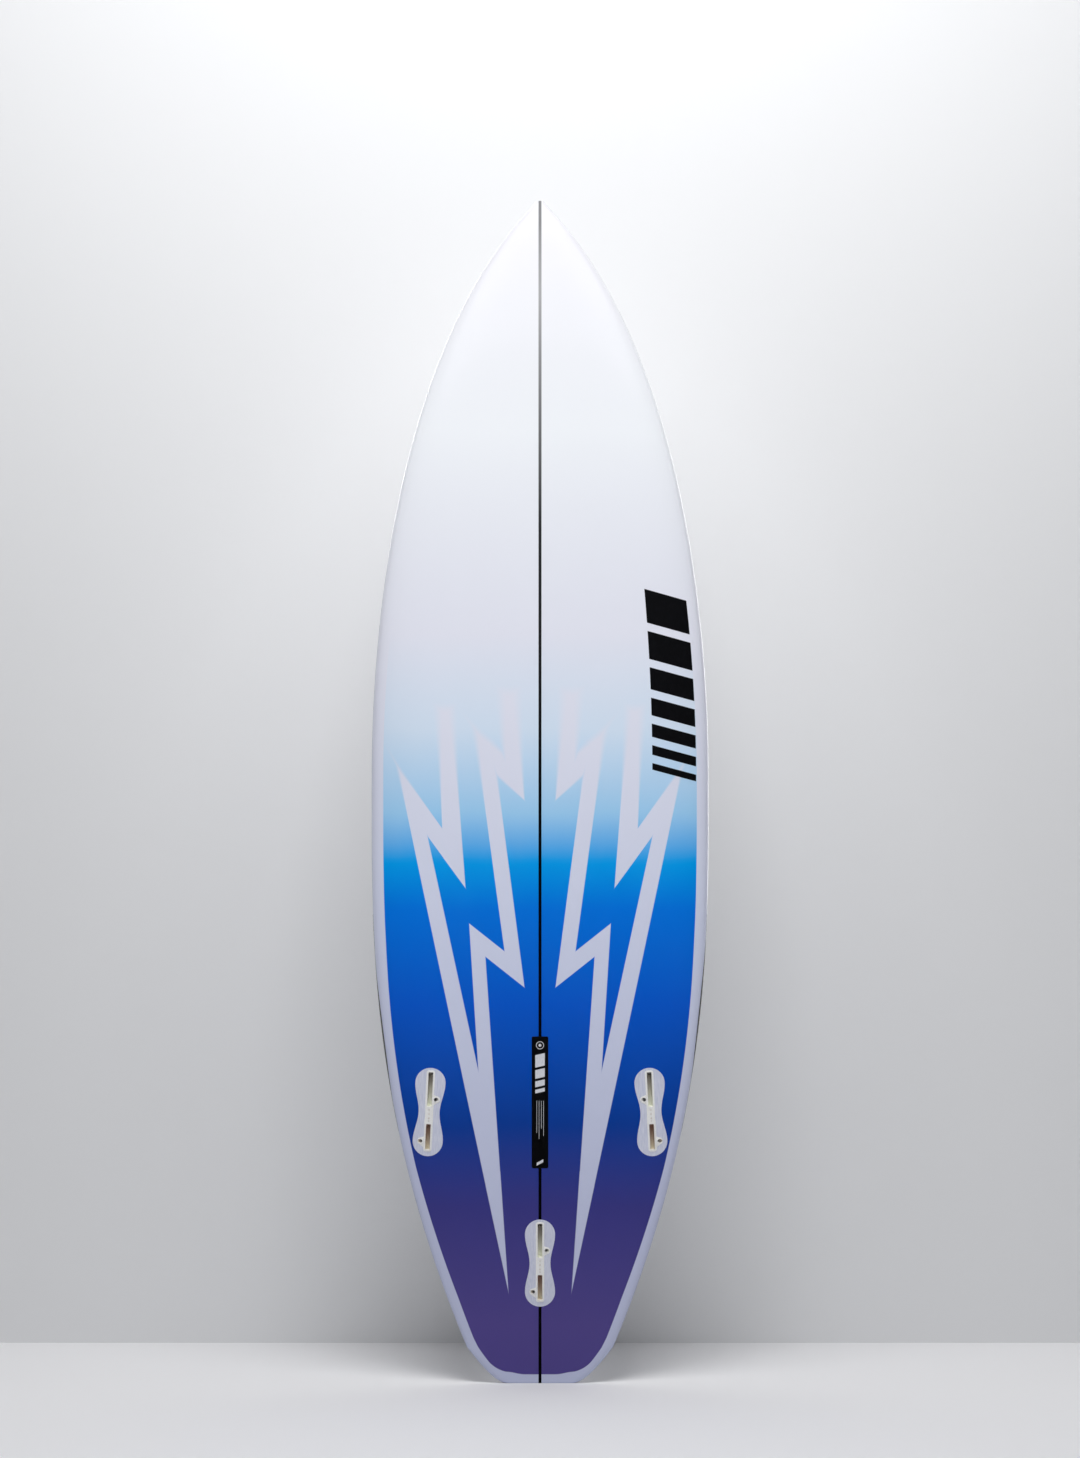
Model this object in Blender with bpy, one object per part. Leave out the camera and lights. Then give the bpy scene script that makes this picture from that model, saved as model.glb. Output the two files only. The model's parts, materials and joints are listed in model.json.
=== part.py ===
"""A performance shortboard: foam blank, stringer, glass skins, three fin plugs and a leash plug.

Units are metres. +Z runs from the squash tail up to the pointed nose, -Y is the bottom, which
carries the fin plugs, and +Y is the deck. The board stands upright on the flat end of its tail.
"""

import math

import bmesh
import bpy
import numpy as np
from mathutils import Matrix, Vector

# Overall sizes of the board.
LENGTH = 1.626
WIDTH = 0.458
THICKNESS = 0.054
NOSE_ROCKER = 0.115
TAIL_ROCKER = 0.050

# Thickness at both ends, and the hollow along the middle of the bottom.
TAIL_THICKNESS = 0.014
NOSE_THICKNESS = 0.008
CONCAVE = 0.0022

# Outline of the tail end: its flat, then the rounded corner of the squash.
TAIL_FLAT_HALF = 0.046
TAIL_CORNER_HALF = 0.100
TAIL_CORNER_HEIGHT = 0.050
TAIL_CORNER_PULL = (0.30, 0.21, 0.69)
NOSE_TIP_HALF = 0.003

# Shape factors: heights as shares of the length, widths as shares of half the width.
WIDE_POINT = 0.5105
TAIL_CURVE = ((1.027, 0.2327), (1.0, 0.383))
NOSE_CURVE = ((1.0, 0.546), (1.010, 0.854))
FLAT_SPOT = 0.45
THICK_SPOT = 0.52

# Powers of the curves that lead from those spots to the tail and to the nose.
ROCKER_POWERS = (2.2, 2.6)
FOIL_POWERS = (1.9, 1.75)

# Section shape at tail, middle and nose: height of the rail's apex as a share of the thickness,
# and the powers that keep the bottom flat and the deck crowned.
RAIL_APEX = (0.30, 0.40, 0.50)
BOTTOM_POWER = (14.0, 7.0, 3.0)
DECK_POWER = (2.5, 2.3, 2.1)

# Build-up of the board.
LAMINATE = 0.0007
GAP = 0.0003
STRINGER_WIDTH = 0.004

# Fin plugs, along the board and across it.
PLUG_LENGTH = 0.121
PLUG_LOBE_RADIUS = 0.0205
PLUG_WAIST_HALF = 0.01425
PLUG_DEPTH = 0.0150
SLOT_WIDTH = 0.0064
SLOT_DEPTH = 0.0120
SLOT_CORNER = 0.0010
FRONT_SLOT = (0.0075, 0.0544)
REAR_SLOT = (-0.0514, -0.0165)
FRAME_WIDTH = 0.0115
FRAME_MARGIN = 0.0027
FRAME_RISE = 0.0005
FRAME_CORNER = 0.0037
SIDE_PLUG_HEIGHT = 0.3745
SIDE_PLUG_FROM_RAIL = 0.0470
CENTRE_PLUG_HEIGHT = 0.167
TOE_IN = math.radians(2.8)
CANT = math.radians(5.0)

# Retention roller and its elastomer spring, in the front end of the front slot.
ROLLER_RADIUS = 0.0022
ROLLER_LENGTH = 0.0080
ROLLER_DEPTH = 0.0050
ROLLER_CHAMFER = 0.0004
SPRING_THICKNESS = 0.0027
SPRING_WIDTH = 0.0070
SPRING_HEIGHT = 0.0050

# Grub screws: M5, leaning in towards the slot wall.
SCREW_RADIUS = 0.0025
SCREW_TIP_RADIUS = 0.0012
SCREW_TIP_LENGTH = 0.0013
SCREW_LENGTH = 0.0065
SCREW_LEAN = math.radians(40.0)
SCREW_RECESS = 0.0011
HEX_KEY = 0.0025
HEX_DEPTH = 0.0028
SCREW_BORE_DEPTH = 0.0110
BOSS_RADIUS = 0.0042
BOSS_RISE = 0.0003
FRONT_SCREW = (0.0093, 0.0175)
REAR_SCREW = (-0.0097, -0.0400)

# Leash plug in the deck, beside the stringer.
CUP_RADIUS = 0.0150
CUP_BORE_RADIUS = 0.0120
CUP_DEPTH = 0.0130
CUP_FLOOR = 0.0020
LEASH_BAR_RADIUS = 0.0020
LEASH_BAR_DEPTH = 0.0042
LEASH_BAR_BITE = 0.0020
LEASH_PLACE = (0.028, 0.075)

# Carbon patches on the deck, which lap over the rail onto the edge of the bottom.
PATCH_THICKNESS = 0.0004
PATCH_GAP = 0.0006
PATCH_LOW = (0.330, 0.360)
PATCH_HIGH = (0.620, 0.660)
PATCH_LAP_STEPS = 1
PATCH_DECK_STEPS = 4

# Printed decals: one along the right rail, one over the stringer.
DECAL_THICKNESS = 0.0002
RAIL_DECAL_HEIGHTS = (0.820, 1.088)
RAIL_DECAL_SHARES = (0.66, 0.93)
STRINGER_LABEL_HEIGHTS = (0.296, 0.477)
STRINGER_LABEL_WIDTH = 0.023

# How finely the surfaces are divided.
CORNER_STEPS = 4
TAIL_STEPS = round(LENGTH / 0.20)
NOSE_STEPS = round(LENGTH / 0.15)
SECTION_STEPS = 7
SHEET_ROWS = 7
ROUND_STEPS = 20
SCREW_STEPS = 16
CUP_STEPS = 32
CORNER_SIDES = 4
WAIST_STEPS = 5
LOBE_STEPS = 6

# How far a cutter stands out over the face that it cuts, and how far a raised feature is sunk in.
CUT_ABOVE = 0.004
SUNK = 0.001


def clear_scene():
    """Remove every object that the scene starts with."""
    for obj in list(bpy.data.objects):
        bpy.data.objects.remove(obj, do_unlink=True)


# ---------------------------------------------------------------------------------------------
# Outline, foil and section


def bezier(points, steps, crowd_end=False):
    """Rows of (half-width, height, normal across, normal along) down a cubic Bezier curve.

    The rows are evenly spaced, or where crowd_end is true, closer together towards its end.
    """
    points = np.array(points)
    rows = []
    spread = np.linspace(0.0, 1.0, steps + 1)
    for t in np.sin(spread * math.pi / 2) if crowd_end else spread:
        s = 1.0 - t
        place = (
            s**3 * points[0]
            + 3 * s * s * t * points[1]
            + 3 * s * t * t * points[2]
            + t**3 * points[3]
        )
        slope = (
            s * s * (points[1] - points[0])
            + 2 * s * t * (points[2] - points[1])
            + t * t * (points[3] - points[2])
        )
        slope /= np.linalg.norm(slope)
        rows.append((place[0], place[1], slope[1], -slope[0]))
    return rows


def outline():
    """Stations of the right-hand outline, from the tail's flat end to the nose."""
    half = WIDTH / 2
    low, high = TAIL_CURVE
    flare, pull = NOSE_CURVE
    widest = (half, WIDE_POINT * LENGTH)
    corner = (TAIL_CORNER_HALF, TAIL_CORNER_HEIGHT)
    flat_edge = (TAIL_FLAT_HALF, 0.0)
    reach = TAIL_CORNER_HALF - TAIL_FLAT_HALF
    start, turn, climb = TAIL_CORNER_PULL
    rounding = bezier(
        [
            flat_edge,
            (TAIL_FLAT_HALF + start * reach, 0.0),
            (TAIL_CORNER_HALF - turn * reach, climb * TAIL_CORNER_HEIGHT),
            corner,
        ],
        CORNER_STEPS,
    )
    tail = bezier(
        [
            corner,
            (low[0] * half, low[1] * LENGTH),
            (high[0] * half, high[1] * LENGTH),
            widest,
        ],
        TAIL_STEPS,
    )
    nose = bezier(
        [
            widest,
            (flare[0] * half, flare[1] * LENGTH),
            (pull[0] * half, pull[1] * LENGTH),
            (NOSE_TIP_HALF, LENGTH),
        ],
        NOSE_STEPS,
        crowd_end=True,
    )
    return rounding[:-1] + tail[:-1] + nose


def half_width(z):
    """Half the board's width at height z."""
    rows = np.array(outline())
    return float(np.interp(z, rows[:, 1], rows[:, 0]))


def along_board(values, z):
    """A section value at height z, from its values at tail, middle and nose."""
    return float(np.interp(z / LENGTH, (0.0, 0.5, 1.0), values))


def thickness(z):
    """Thickness of the board on its centre line."""
    spot = THICK_SPOT * LENGTH
    if z < spot:
        reach = (spot - z) / spot
        return THICKNESS - (THICKNESS - TAIL_THICKNESS) * reach ** FOIL_POWERS[0]
    reach = (min(z, LENGTH) - spot) / (LENGTH - spot)
    return THICKNESS - (THICKNESS - NOSE_THICKNESS) * reach ** FOIL_POWERS[1]


def rocker(z):
    """How far the bottom's centre line curves up towards the deck at height z."""
    spot = FLAT_SPOT * LENGTH
    if z < spot:
        return TAIL_ROCKER * ((spot - z) / spot) ** ROCKER_POWERS[0]
    return NOSE_ROCKER * ((z - spot) / (LENGTH - spot)) ** ROCKER_POWERS[1]


def centre_depth():
    """Half the depth of the whole board, which puts the origin midway between its faces."""
    return (rocker(LENGTH) + thickness(LENGTH)) / 2


def bottom_y(x, w, z, inset=0.0):
    """Y of the bottom at x, on a section of half-width w, the given inset inside the board."""
    share = min(abs(x) / w, 1.0)
    apex = along_board(RAIL_APEX, z) * thickness(z) - inset
    curve = apex * (1.0 - math.sqrt(1.0 - share ** along_board(BOTTOM_POWER, z)))
    hollow = CONCAVE * math.sin(math.pi * min(max(z / LENGTH, 0.0), 1.0)) * (1 - share**2) ** 2
    return rocker(z) + inset + curve + hollow - centre_depth()


def deck_y(x, w, z, inset=0.0):
    """Y of the deck at x, on a section of half-width w, the given inset inside the board."""
    share = min(abs(x) / w, 1.0)
    apex = along_board(RAIL_APEX, z) * thickness(z)
    crown = thickness(z) - apex - inset
    rise = crown * math.sqrt(1.0 - share ** along_board(DECK_POWER, z))
    return rocker(z) + apex + rise - centre_depth()


def rail_y(z):
    """Y of the rail's apex at height z."""
    return rocker(z) + along_board(RAIL_APEX, z) * thickness(z) - centre_depth()


def inset_row(row, inset):
    """A station moved inside the outline: its half-width and height."""
    w, z, across, along = row
    return w - inset * across, z - inset * along


def shares():
    """Places across half a section, from the centre line to the rail, as shares of its width."""
    return [math.sin(math.pi / 2 * k / SECTION_STEPS) for k in range(SECTION_STEPS + 1)]


# ---------------------------------------------------------------------------------------------
# Meshes


def new_object(name, mesh_data, colour, roughness=0.5, metallic=0.0, place=None):
    """An object made from a bmesh, with its own material, at a place given as a matrix."""
    bmesh.ops.recalc_face_normals(mesh_data, faces=mesh_data.faces)
    mesh = bpy.data.meshes.new(name)
    mesh_data.to_mesh(mesh)
    mesh_data.free()
    mesh.shade_smooth()
    mesh.set_sharp_from_angle(angle=math.radians(35))
    material = bpy.data.materials.new(name)
    material.use_nodes = True
    shader = material.node_tree.nodes["Principled BSDF"]
    shader.inputs["Base Color"].default_value = (*colour, 1.0)
    shader.inputs["Roughness"].default_value = roughness
    shader.inputs["Metallic"].default_value = metallic
    material.diffuse_color = (*colour, 1.0)
    mesh.materials.append(material)
    obj = bpy.data.objects.new(name, mesh)
    bpy.context.scene.collection.objects.link(obj)
    if place is not None:
        obj.matrix_world = place
    return obj


def add_grid(mesh, rows, across_turn):
    """Vertices and triangles of a grid of points. Diagonals are mirrored about the middle."""
    grid = [[mesh.verts.new(point) for point in row] for row in rows]
    for low, high in zip(grid, grid[1:]):
        for k in range(len(low) - 1):
            a, b, c, d = low[k], low[k + 1], high[k + 1], high[k]
            if k < across_turn:
                mesh.faces.new((a, b, c))
                mesh.faces.new((a, c, d))
            else:
                mesh.faces.new((a, b, d))
                mesh.faces.new((b, c, d))
    return grid


def add_side(mesh, one, other):
    """Quads between two rows of vertices of the same length."""
    for k in range(len(one) - 1):
        mesh.faces.new((one[k], one[k + 1], other[k + 1], other[k]))


def slab(rows, under_rows, capped=False):
    """A closed skin between two grids of points.

    Its two ends are narrow rims, or where capped is true, plates that close the hollow.
    """
    mesh = bmesh.new()
    turn = (len(rows[0]) - 1) // 2
    top = add_grid(mesh, rows, turn)
    under = add_grid(mesh, under_rows, turn)
    add_side(mesh, [row[0] for row in top], [row[0] for row in under])
    add_side(mesh, [row[-1] for row in top], [row[-1] for row in under])
    for outer, inner in ((top[0], under[0]), (top[-1], under[-1])):
        if capped:
            mesh.faces.new(outer)
            mesh.faces.new(inner)
            mesh.faces.new((outer[0], outer[-1], inner[-1], inner[0]))
        else:
            add_side(mesh, outer, inner)
    return mesh


def loft(rings):
    """A closed solid through rings of points, with flat ends."""
    mesh = bmesh.new()
    closed = [ring + ring[:1] for ring in rings]
    grid = []
    for ring in closed:
        verts = [mesh.verts.new(point) for point in ring[:-1]]
        grid.append(verts + verts[:1])
    for low, high in zip(grid, grid[1:]):
        for k in range(len(low) - 1):
            a, b, c, d = low[k], low[k + 1], high[k + 1], high[k]
            mesh.faces.new((a, b, c))
            mesh.faces.new((a, c, d))
    mesh.faces.new(grid[0][:-1])
    mesh.faces.new(grid[-1][:-1])
    return mesh


def prism(points, low, high):
    """An upright prism on an outline of (x, y) points."""
    return loft([[(x, y, z) for x, y in points] for z in (low, high)])


def circle(radius, steps=ROUND_STEPS, centre=(0.0, 0.0)):
    """Points of a circle."""
    turns = [2 * math.pi * k / steps for k in range(steps)]
    return [
        (centre[0] + radius * math.cos(t), centre[1] + radius * math.sin(t)) for t in turns
    ]


def slot_outline(width, low, high, corner):
    """Points of a slot with rounded corners, which runs along y from low to high."""
    half = width / 2 - corner
    middles = (
        (half, high - corner),
        (-half, high - corner),
        (-half, low + corner),
        (half, low + corner),
    )
    points = []
    for quarter, (x, y) in enumerate(middles):
        for k in range(CORNER_SIDES + 1):
            turn = math.pi / 2 * (quarter + k / CORNER_SIDES)
            points.append((x + corner * math.cos(turn), y + corner * math.sin(turn)))
    return points


def turned(profile, steps=ROUND_STEPS):
    """A turned solid about z, from a profile of (radius, height) with flat ends."""
    return loft([[(x, y, z) for x, y in circle(r, steps)] for r, z in profile])


def box(low, high):
    """A box between two corners."""
    (x0, y0, z0), (x1, y1, z1) = low, high
    return prism([(x0, y0), (x1, y0), (x1, y1), (x0, y1)], z0, z1)


def helper(name, mesh_data, place):
    """A shape used only by a Boolean."""
    obj = new_object(name, mesh_data, (1.0, 0.2, 0.1), place=place)
    obj.hide_render = True
    obj.display_type = "WIRE"
    return obj


def combine(obj, other, operation="DIFFERENCE"):
    """Add a Boolean with another object."""
    modifier = obj.modifiers.new(other.name, "BOOLEAN")
    modifier.operation = operation
    modifier.solver = "EXACT"
    modifier.object = other


# ---------------------------------------------------------------------------------------------
# Places on the board


def frame_matrix(origin, across, along, outward):
    """A matrix whose axes run across the board, along it and out of its surface."""
    matrix = Matrix((across, along, outward)).transposed().to_4x4()
    matrix.translation = origin
    return matrix


def surface_frame(x, z, height_y, reach, toe=0.0):
    """The tangent frame of a face of the board at x and z, averaged over a reach around them.

    toe turns the frame's along axis towards +X.
    """

    def point(px, pz):
        return Vector((px, height_y(px, half_width(pz), pz), pz))

    middle = point(x, z)
    sides = point(x - reach[0], z), point(x + reach[0], z)
    ends = point(x, z - reach[1]), point(x, z + reach[1])
    across = (sides[1] - sides[0]).normalized()
    along = (ends[1] - ends[0]).normalized()
    outward = across.cross(along).normalized()
    if height_y is deck_y:
        outward.negate()
        along.negate()
    across = along.cross(outward).normalized()
    around = sides[0] + sides[1] + ends[0] + ends[1]
    origin = (middle + around / 4) / 2
    turned_frame = frame_matrix(origin, across, outward.cross(across), outward)
    return turned_frame @ Matrix.Rotation(-toe, 4, "Z")


# ---------------------------------------------------------------------------------------------
# Blank, stringer and skins


def blank_half(name, side):
    """One half of the foam blank: side is -1 for the left, +1 for the right."""
    inset = LAMINATE + GAP
    inner = STRINGER_WIDTH / 2 + GAP
    rings = []
    for row in outline():
        w, z = inset_row(row, inset)
        if w < 3 * inner:
            continue
        xs = [inner + share * (w - inner) for share in shares()]
        low = [(side * x, bottom_y(x, w, z, inset), z) for x in xs]
        high = [(side * x, deck_y(x, w, z, inset), z) for x in reversed(xs[:-1])]
        rings.append(low + high)
    return new_object(name, loft(rings), (0.93, 0.92, 0.88), 0.8)


def stringer():
    """The wooden strip between the halves, from tail to nose."""
    inset = LAMINATE + GAP
    half = STRINGER_WIDTH / 2
    rings = []
    for row in outline():
        w, z = inset_row(row, inset)
        if w < 2 * half:
            continue
        low = bottom_y(half, w, z, inset)
        high = deck_y(half, w, z, inset)
        rings.append([(-half, low, z), (half, low, z), (half, high, z), (-half, high, z)])
    return new_object("stringer", loft(rings), (0.03, 0.03, 0.03), 0.7)


def skin_rows(height_y, inset, seam):
    """Rows of points of one skin, rail to rail, with its rim the given distance off the apex."""
    rows = []
    for row in outline():
        w, z = inset_row(row, inset)
        half = [(share * w, height_y(share * w, w, z, inset), z) for share in shares()]
        half[-1] = (w, rail_y(z) + seam, z)
        rows.append([(-x, y, z) for x, y, z in reversed(half)] + half[1:])
    return rows


def skin(name, height_y, seam, colour):
    """The glass skin of one face, a tub that ends at the apex of the rails."""
    outer = skin_rows(height_y, 0.0, seam)
    inner = skin_rows(height_y, LAMINATE, seam)
    return new_object(name, slab(outer, inner, capped=True), colour, 0.15)


def carbon_patch(name, side):
    """A strip of carbon on the deck near the back foot, lapped over one rail."""
    grids = []
    for raised in (PATCH_GAP + PATCH_THICKNESS, PATCH_GAP):
        rows = []
        for part in np.linspace(0.0, 1.0, SHEET_ROWS):
            part = float(part)
            low = PATCH_LOW[0] + part * (PATCH_HIGH[0] - PATCH_LOW[0])
            high = PATCH_LOW[1] + part * (PATCH_HIGH[1] - PATCH_LOW[1])
            row = []
            steps = [(deck_y, s) for s in shares()[-1 - PATCH_DECK_STEPS :]]
            steps += [(bottom_y, s) for s in reversed(shares()[-1 - PATCH_LAP_STEPS : -1])]
            for n, (height_y, share) in enumerate(steps):
                z = high + (low - high) * n / (len(steps) - 1)
                w = half_width(z) + raised
                row.append((side * share * w, height_y(share * w, w, z, -raised), z))
            rows.append(row)
        grids.append(rows)
    return new_object(name, slab(*grids), (0.02, 0.02, 0.022), 0.3)


def bottom_sheet(name, heights, columns, colour):
    """A thin sheet on the bottom. columns gives the x of its points on a section of half-width w."""
    grids = []
    for raised in (GAP + DECAL_THICKNESS, GAP):
        rows = []
        for z in np.linspace(*heights, SHEET_ROWS):
            z = float(z)
            w = half_width(z) + raised
            rows.append([(x, bottom_y(x, w, z, -raised), z) for x in columns(w)])
        grids.append(rows)
    return new_object(name, slab(*grids), colour, 0.4)


def decals():
    """The two printed sheets on the bottom."""
    ink = (0.02, 0.02, 0.02)
    near, far = RAIL_DECAL_SHARES
    across = [near] + [share for share in shares() if near < share < far] + [far]
    bottom_sheet(
        "rail_decal", RAIL_DECAL_HEIGHTS, lambda w: [share * w for share in across], ink
    )
    half = STRINGER_LABEL_WIDTH / 2
    bottom_sheet("stringer_label", STRINGER_LABEL_HEIGHTS, lambda w: [-half, 0.0, half], ink)


# ---------------------------------------------------------------------------------------------
# Fin plugs


def plug_outline(clearance=0.0):
    """Points of a plug's outline: two round lobes joined by a waist."""
    lobe = PLUG_LENGTH / 2 - PLUG_LOBE_RADIUS
    radius = PLUG_LOBE_RADIUS + clearance
    quarter = []
    for k in range(WAIST_STEPS):
        y = lobe * k / WAIST_STEPS
        swell = (1 - math.cos(math.pi * y / lobe)) / 2 * (PLUG_LOBE_RADIUS - PLUG_WAIST_HALF)
        quarter.append((PLUG_WAIST_HALF + swell + clearance, y))
    for k in range(LOBE_STEPS + 1):
        turn = math.pi / 2 * k / LOBE_STEPS
        quarter.append((radius * math.cos(turn), lobe + radius * math.sin(turn)))
    upper = quarter + [(-x, y) for x, y in reversed(quarter[:-1])]
    lower = [(-x, -y) for x, y in upper[1:-1]]
    return upper + lower


def screw_matrix(place, hand):
    """Where a grub screw lies in the slot frame: its z axis points out of the board."""
    across, along = place
    lean = SCREW_LEAN if across * hand > 0 else -SCREW_LEAN
    return Matrix.Translation((across * hand, along, 0.0)) @ Matrix.Rotation(lean, 4, "Y")


def grub_screw(name, place):
    """A socket set screw with a narrowed tip. Its top lies under the face by the recess."""
    top = -SCREW_RECESS
    foot = top - SCREW_LENGTH
    profile = [
        (SCREW_TIP_RADIUS, foot),
        (SCREW_RADIUS, foot + SCREW_TIP_LENGTH),
        (SCREW_RADIUS, top),
    ]
    screw = new_object(name, turned(profile, SCREW_STEPS), (0.35, 0.35, 0.36), 0.3, 1.0, place)
    key = circle(HEX_KEY / math.sqrt(3), 6)
    socket = helper(name + "_socket", prism(key, top - HEX_DEPTH, CUT_ABOVE), place)
    combine(screw, socket)
    return screw


def fin_plug(side_name, frame, cant, hand, cut_nodes):
    """One two-slot plug with its roller, spring and grub screws, and its pocket in the board."""
    name = "fin_plug_" + side_name
    plug = new_object(
        name, prism(plug_outline(), -PLUG_DEPTH, 0.0), (0.9, 0.9, 0.9), 0.35, 0.0, frame
    )
    slots = frame @ Matrix.Rotation(cant, 4, "Y")

    ends = (REAR_SLOT[0] - FRAME_MARGIN, FRONT_SLOT[1] + FRAME_MARGIN)
    ridge = slot_outline(FRAME_WIDTH, *ends, FRAME_CORNER)
    combine(plug, helper(name + "_frame", prism(ridge, -SUNK, FRAME_RISE), frame), "UNION")
    for label, (across, along) in (("front", FRONT_SCREW), ("rear", REAR_SCREW)):
        spot = circle(BOSS_RADIUS, centre=(across * hand, along))
        boss = prism(spot, -SUNK, BOSS_RISE)
        combine(plug, helper(f"{name}_{label}_boss", boss, frame), "UNION")

    for label, (low, high) in (("front", FRONT_SLOT), ("rear", REAR_SLOT)):
        opening = slot_outline(SLOT_WIDTH, low, high, SLOT_CORNER)
        cut = prism(opening, -SLOT_DEPTH, CUT_ABOVE)
        combine(plug, helper(f"{name}_{label}_slot", cut, slots))

    roller_y = FRONT_SLOT[1] - ROLLER_RADIUS - 2 * GAP
    spring_y = roller_y + ROLLER_RADIUS + GAP
    room_end = spring_y + SPRING_THICKNESS + GAP
    room_half = ROLLER_LENGTH / 2 + GAP
    room_height = max(2 * ROLLER_RADIUS, SPRING_HEIGHT) / 2 + GAP
    room = box(
        (-room_half, roller_y - ROLLER_RADIUS - GAP, -ROLLER_DEPTH - room_height),
        (room_half, room_end, -ROLLER_DEPTH + room_height),
    )
    combine(plug, helper(name + "_roller_room", room, slots))

    half = ROLLER_LENGTH / 2
    roller_profile = [
        (ROLLER_RADIUS - ROLLER_CHAMFER, -half),
        (ROLLER_RADIUS, -half + ROLLER_CHAMFER),
        (ROLLER_RADIUS, half - ROLLER_CHAMFER),
        (ROLLER_RADIUS - ROLLER_CHAMFER, half),
    ]
    roller_place = (
        slots
        @ Matrix.Translation((0.0, roller_y, -ROLLER_DEPTH))
        @ Matrix.Rotation(math.pi / 2, 4, "Y")
    )
    new_object(
        "fin_roller_" + side_name, turned(roller_profile), (0.6, 0.6, 0.62), 0.3, 1.0, roller_place
    )
    spring = box(
        (-SPRING_WIDTH / 2, spring_y, -ROLLER_DEPTH - SPRING_HEIGHT / 2),
        (SPRING_WIDTH / 2, spring_y + SPRING_THICKNESS, -ROLLER_DEPTH + SPRING_HEIGHT / 2),
    )
    new_object("roller_spring_" + side_name, spring, (0.05, 0.05, 0.05), 0.8, 0.0, slots)

    for label, place in (("front", FRONT_SCREW), ("rear", REAR_SCREW)):
        matrix = slots @ screw_matrix(place, hand)
        bore_radius = SCREW_RADIUS + GAP
        bore = turned([(bore_radius, -SCREW_BORE_DEPTH), (bore_radius, CUT_ABOVE)])
        combine(plug, helper(f"{name}_{label}_bore", bore, matrix))
        grub_screw(f"{label}_screw_{side_name}", matrix)

    pocket = prism(plug_outline(GAP), -PLUG_DEPTH - GAP, CUT_ABOVE)
    pocket_cutter = helper(name + "_pocket", pocket, frame)
    for node in cut_nodes:
        combine(node, pocket_cutter)
    return plug


def fin_plugs(bottom_skin, left, right, middle):
    """The three plugs: one near each rail, and one on the stringer behind them."""
    reach = (0.7 * PLUG_LOBE_RADIUS, 0.37 * PLUG_LENGTH)
    side_x = half_width(SIDE_PLUG_HEIGHT) - SIDE_PLUG_FROM_RAIL
    for name, side, blank in (("left", -1, left), ("right", 1, right)):
        frame = surface_frame(side * side_x, SIDE_PLUG_HEIGHT, bottom_y, reach, -side * TOE_IN)
        fin_plug(name, frame, side * CANT, -side, (bottom_skin, blank))
    frame = surface_frame(0.0, CENTRE_PLUG_HEIGHT, bottom_y, reach)
    fin_plug("centre", frame, 0.0, 1, (bottom_skin, left, right, middle))


# ---------------------------------------------------------------------------------------------
# Leash plug


def leash_plug(deck_skin, blank):
    """The cup let into the deck, with the bar that the leash string is tied to."""
    x, z = LEASH_PLACE
    frame = surface_frame(x, z, deck_y, (0.7 * CUP_RADIUS, 0.7 * CUP_RADIUS))
    profile = [
        (CUP_BORE_RADIUS, -CUP_DEPTH + CUP_FLOOR),
        (CUP_BORE_RADIUS, 0.0),
        (CUP_RADIUS, 0.0),
        (CUP_RADIUS, -CUP_DEPTH),
    ]
    cup = new_object("leash_cup", turned(profile, CUP_STEPS), (0.9, 0.9, 0.9), 0.35, 0.0, frame)
    across = (
        frame
        @ Matrix.Translation((0.0, 0.0, -LEASH_BAR_DEPTH))
        @ Matrix.Rotation(math.pi / 2, 4, "Y")
    )
    hole_radius = LEASH_BAR_RADIUS + GAP
    reach = 1.2 * CUP_RADIUS
    hole = turned([(hole_radius, -reach), (hole_radius, reach)])
    combine(cup, helper("leash_cup_hole", hole, across))
    half = CUP_BORE_RADIUS + LEASH_BAR_BITE
    bar = turned([(LEASH_BAR_RADIUS, -half), (LEASH_BAR_RADIUS, half)])
    new_object("leash_bar", bar, (0.6, 0.6, 0.6), 0.25, 1.0, across)
    room = CUP_RADIUS + GAP
    pocket = turned([(room, -CUP_DEPTH - GAP), (room, CUT_ABOVE)], CUP_STEPS)
    pocket_cutter = helper("leash_cup_pocket", pocket, frame)
    combine(deck_skin, pocket_cutter)
    combine(blank, pocket_cutter)


def main():
    """Build every piece of the board."""
    clear_scene()
    left = blank_half("blank_left", -1)
    right = blank_half("blank_right", 1)
    middle = stringer()
    bottom_skin = skin("bottom_laminate", bottom_y, -GAP / 2, (0.2, 0.3, 0.7))
    deck_skin = skin("deck_laminate", deck_y, GAP / 2, (0.9, 0.9, 0.9))
    carbon_patch("carbon_patch_left", -1)
    carbon_patch("carbon_patch_right", 1)
    decals()
    fin_plugs(bottom_skin, left, right, middle)
    leash_plug(deck_skin, right)


main()
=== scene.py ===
"""Looks of a performance shortboard: glassed skins, airbrushed bottom, fin plugs and leash plug.

The board stands upright on its tail. +Z runs to the nose, -Y is the bottom and +Y the deck.
Sizes are in metres.
"""

import json
import logging
import math
from collections.abc import Callable, Sequence
from dataclasses import dataclass, field
from enum import Enum

import bpy
import numpy as np
from bpy.types import Material, Node, NodeSocket, NodeTree, Object
from mathutils import Matrix, Vector


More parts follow.
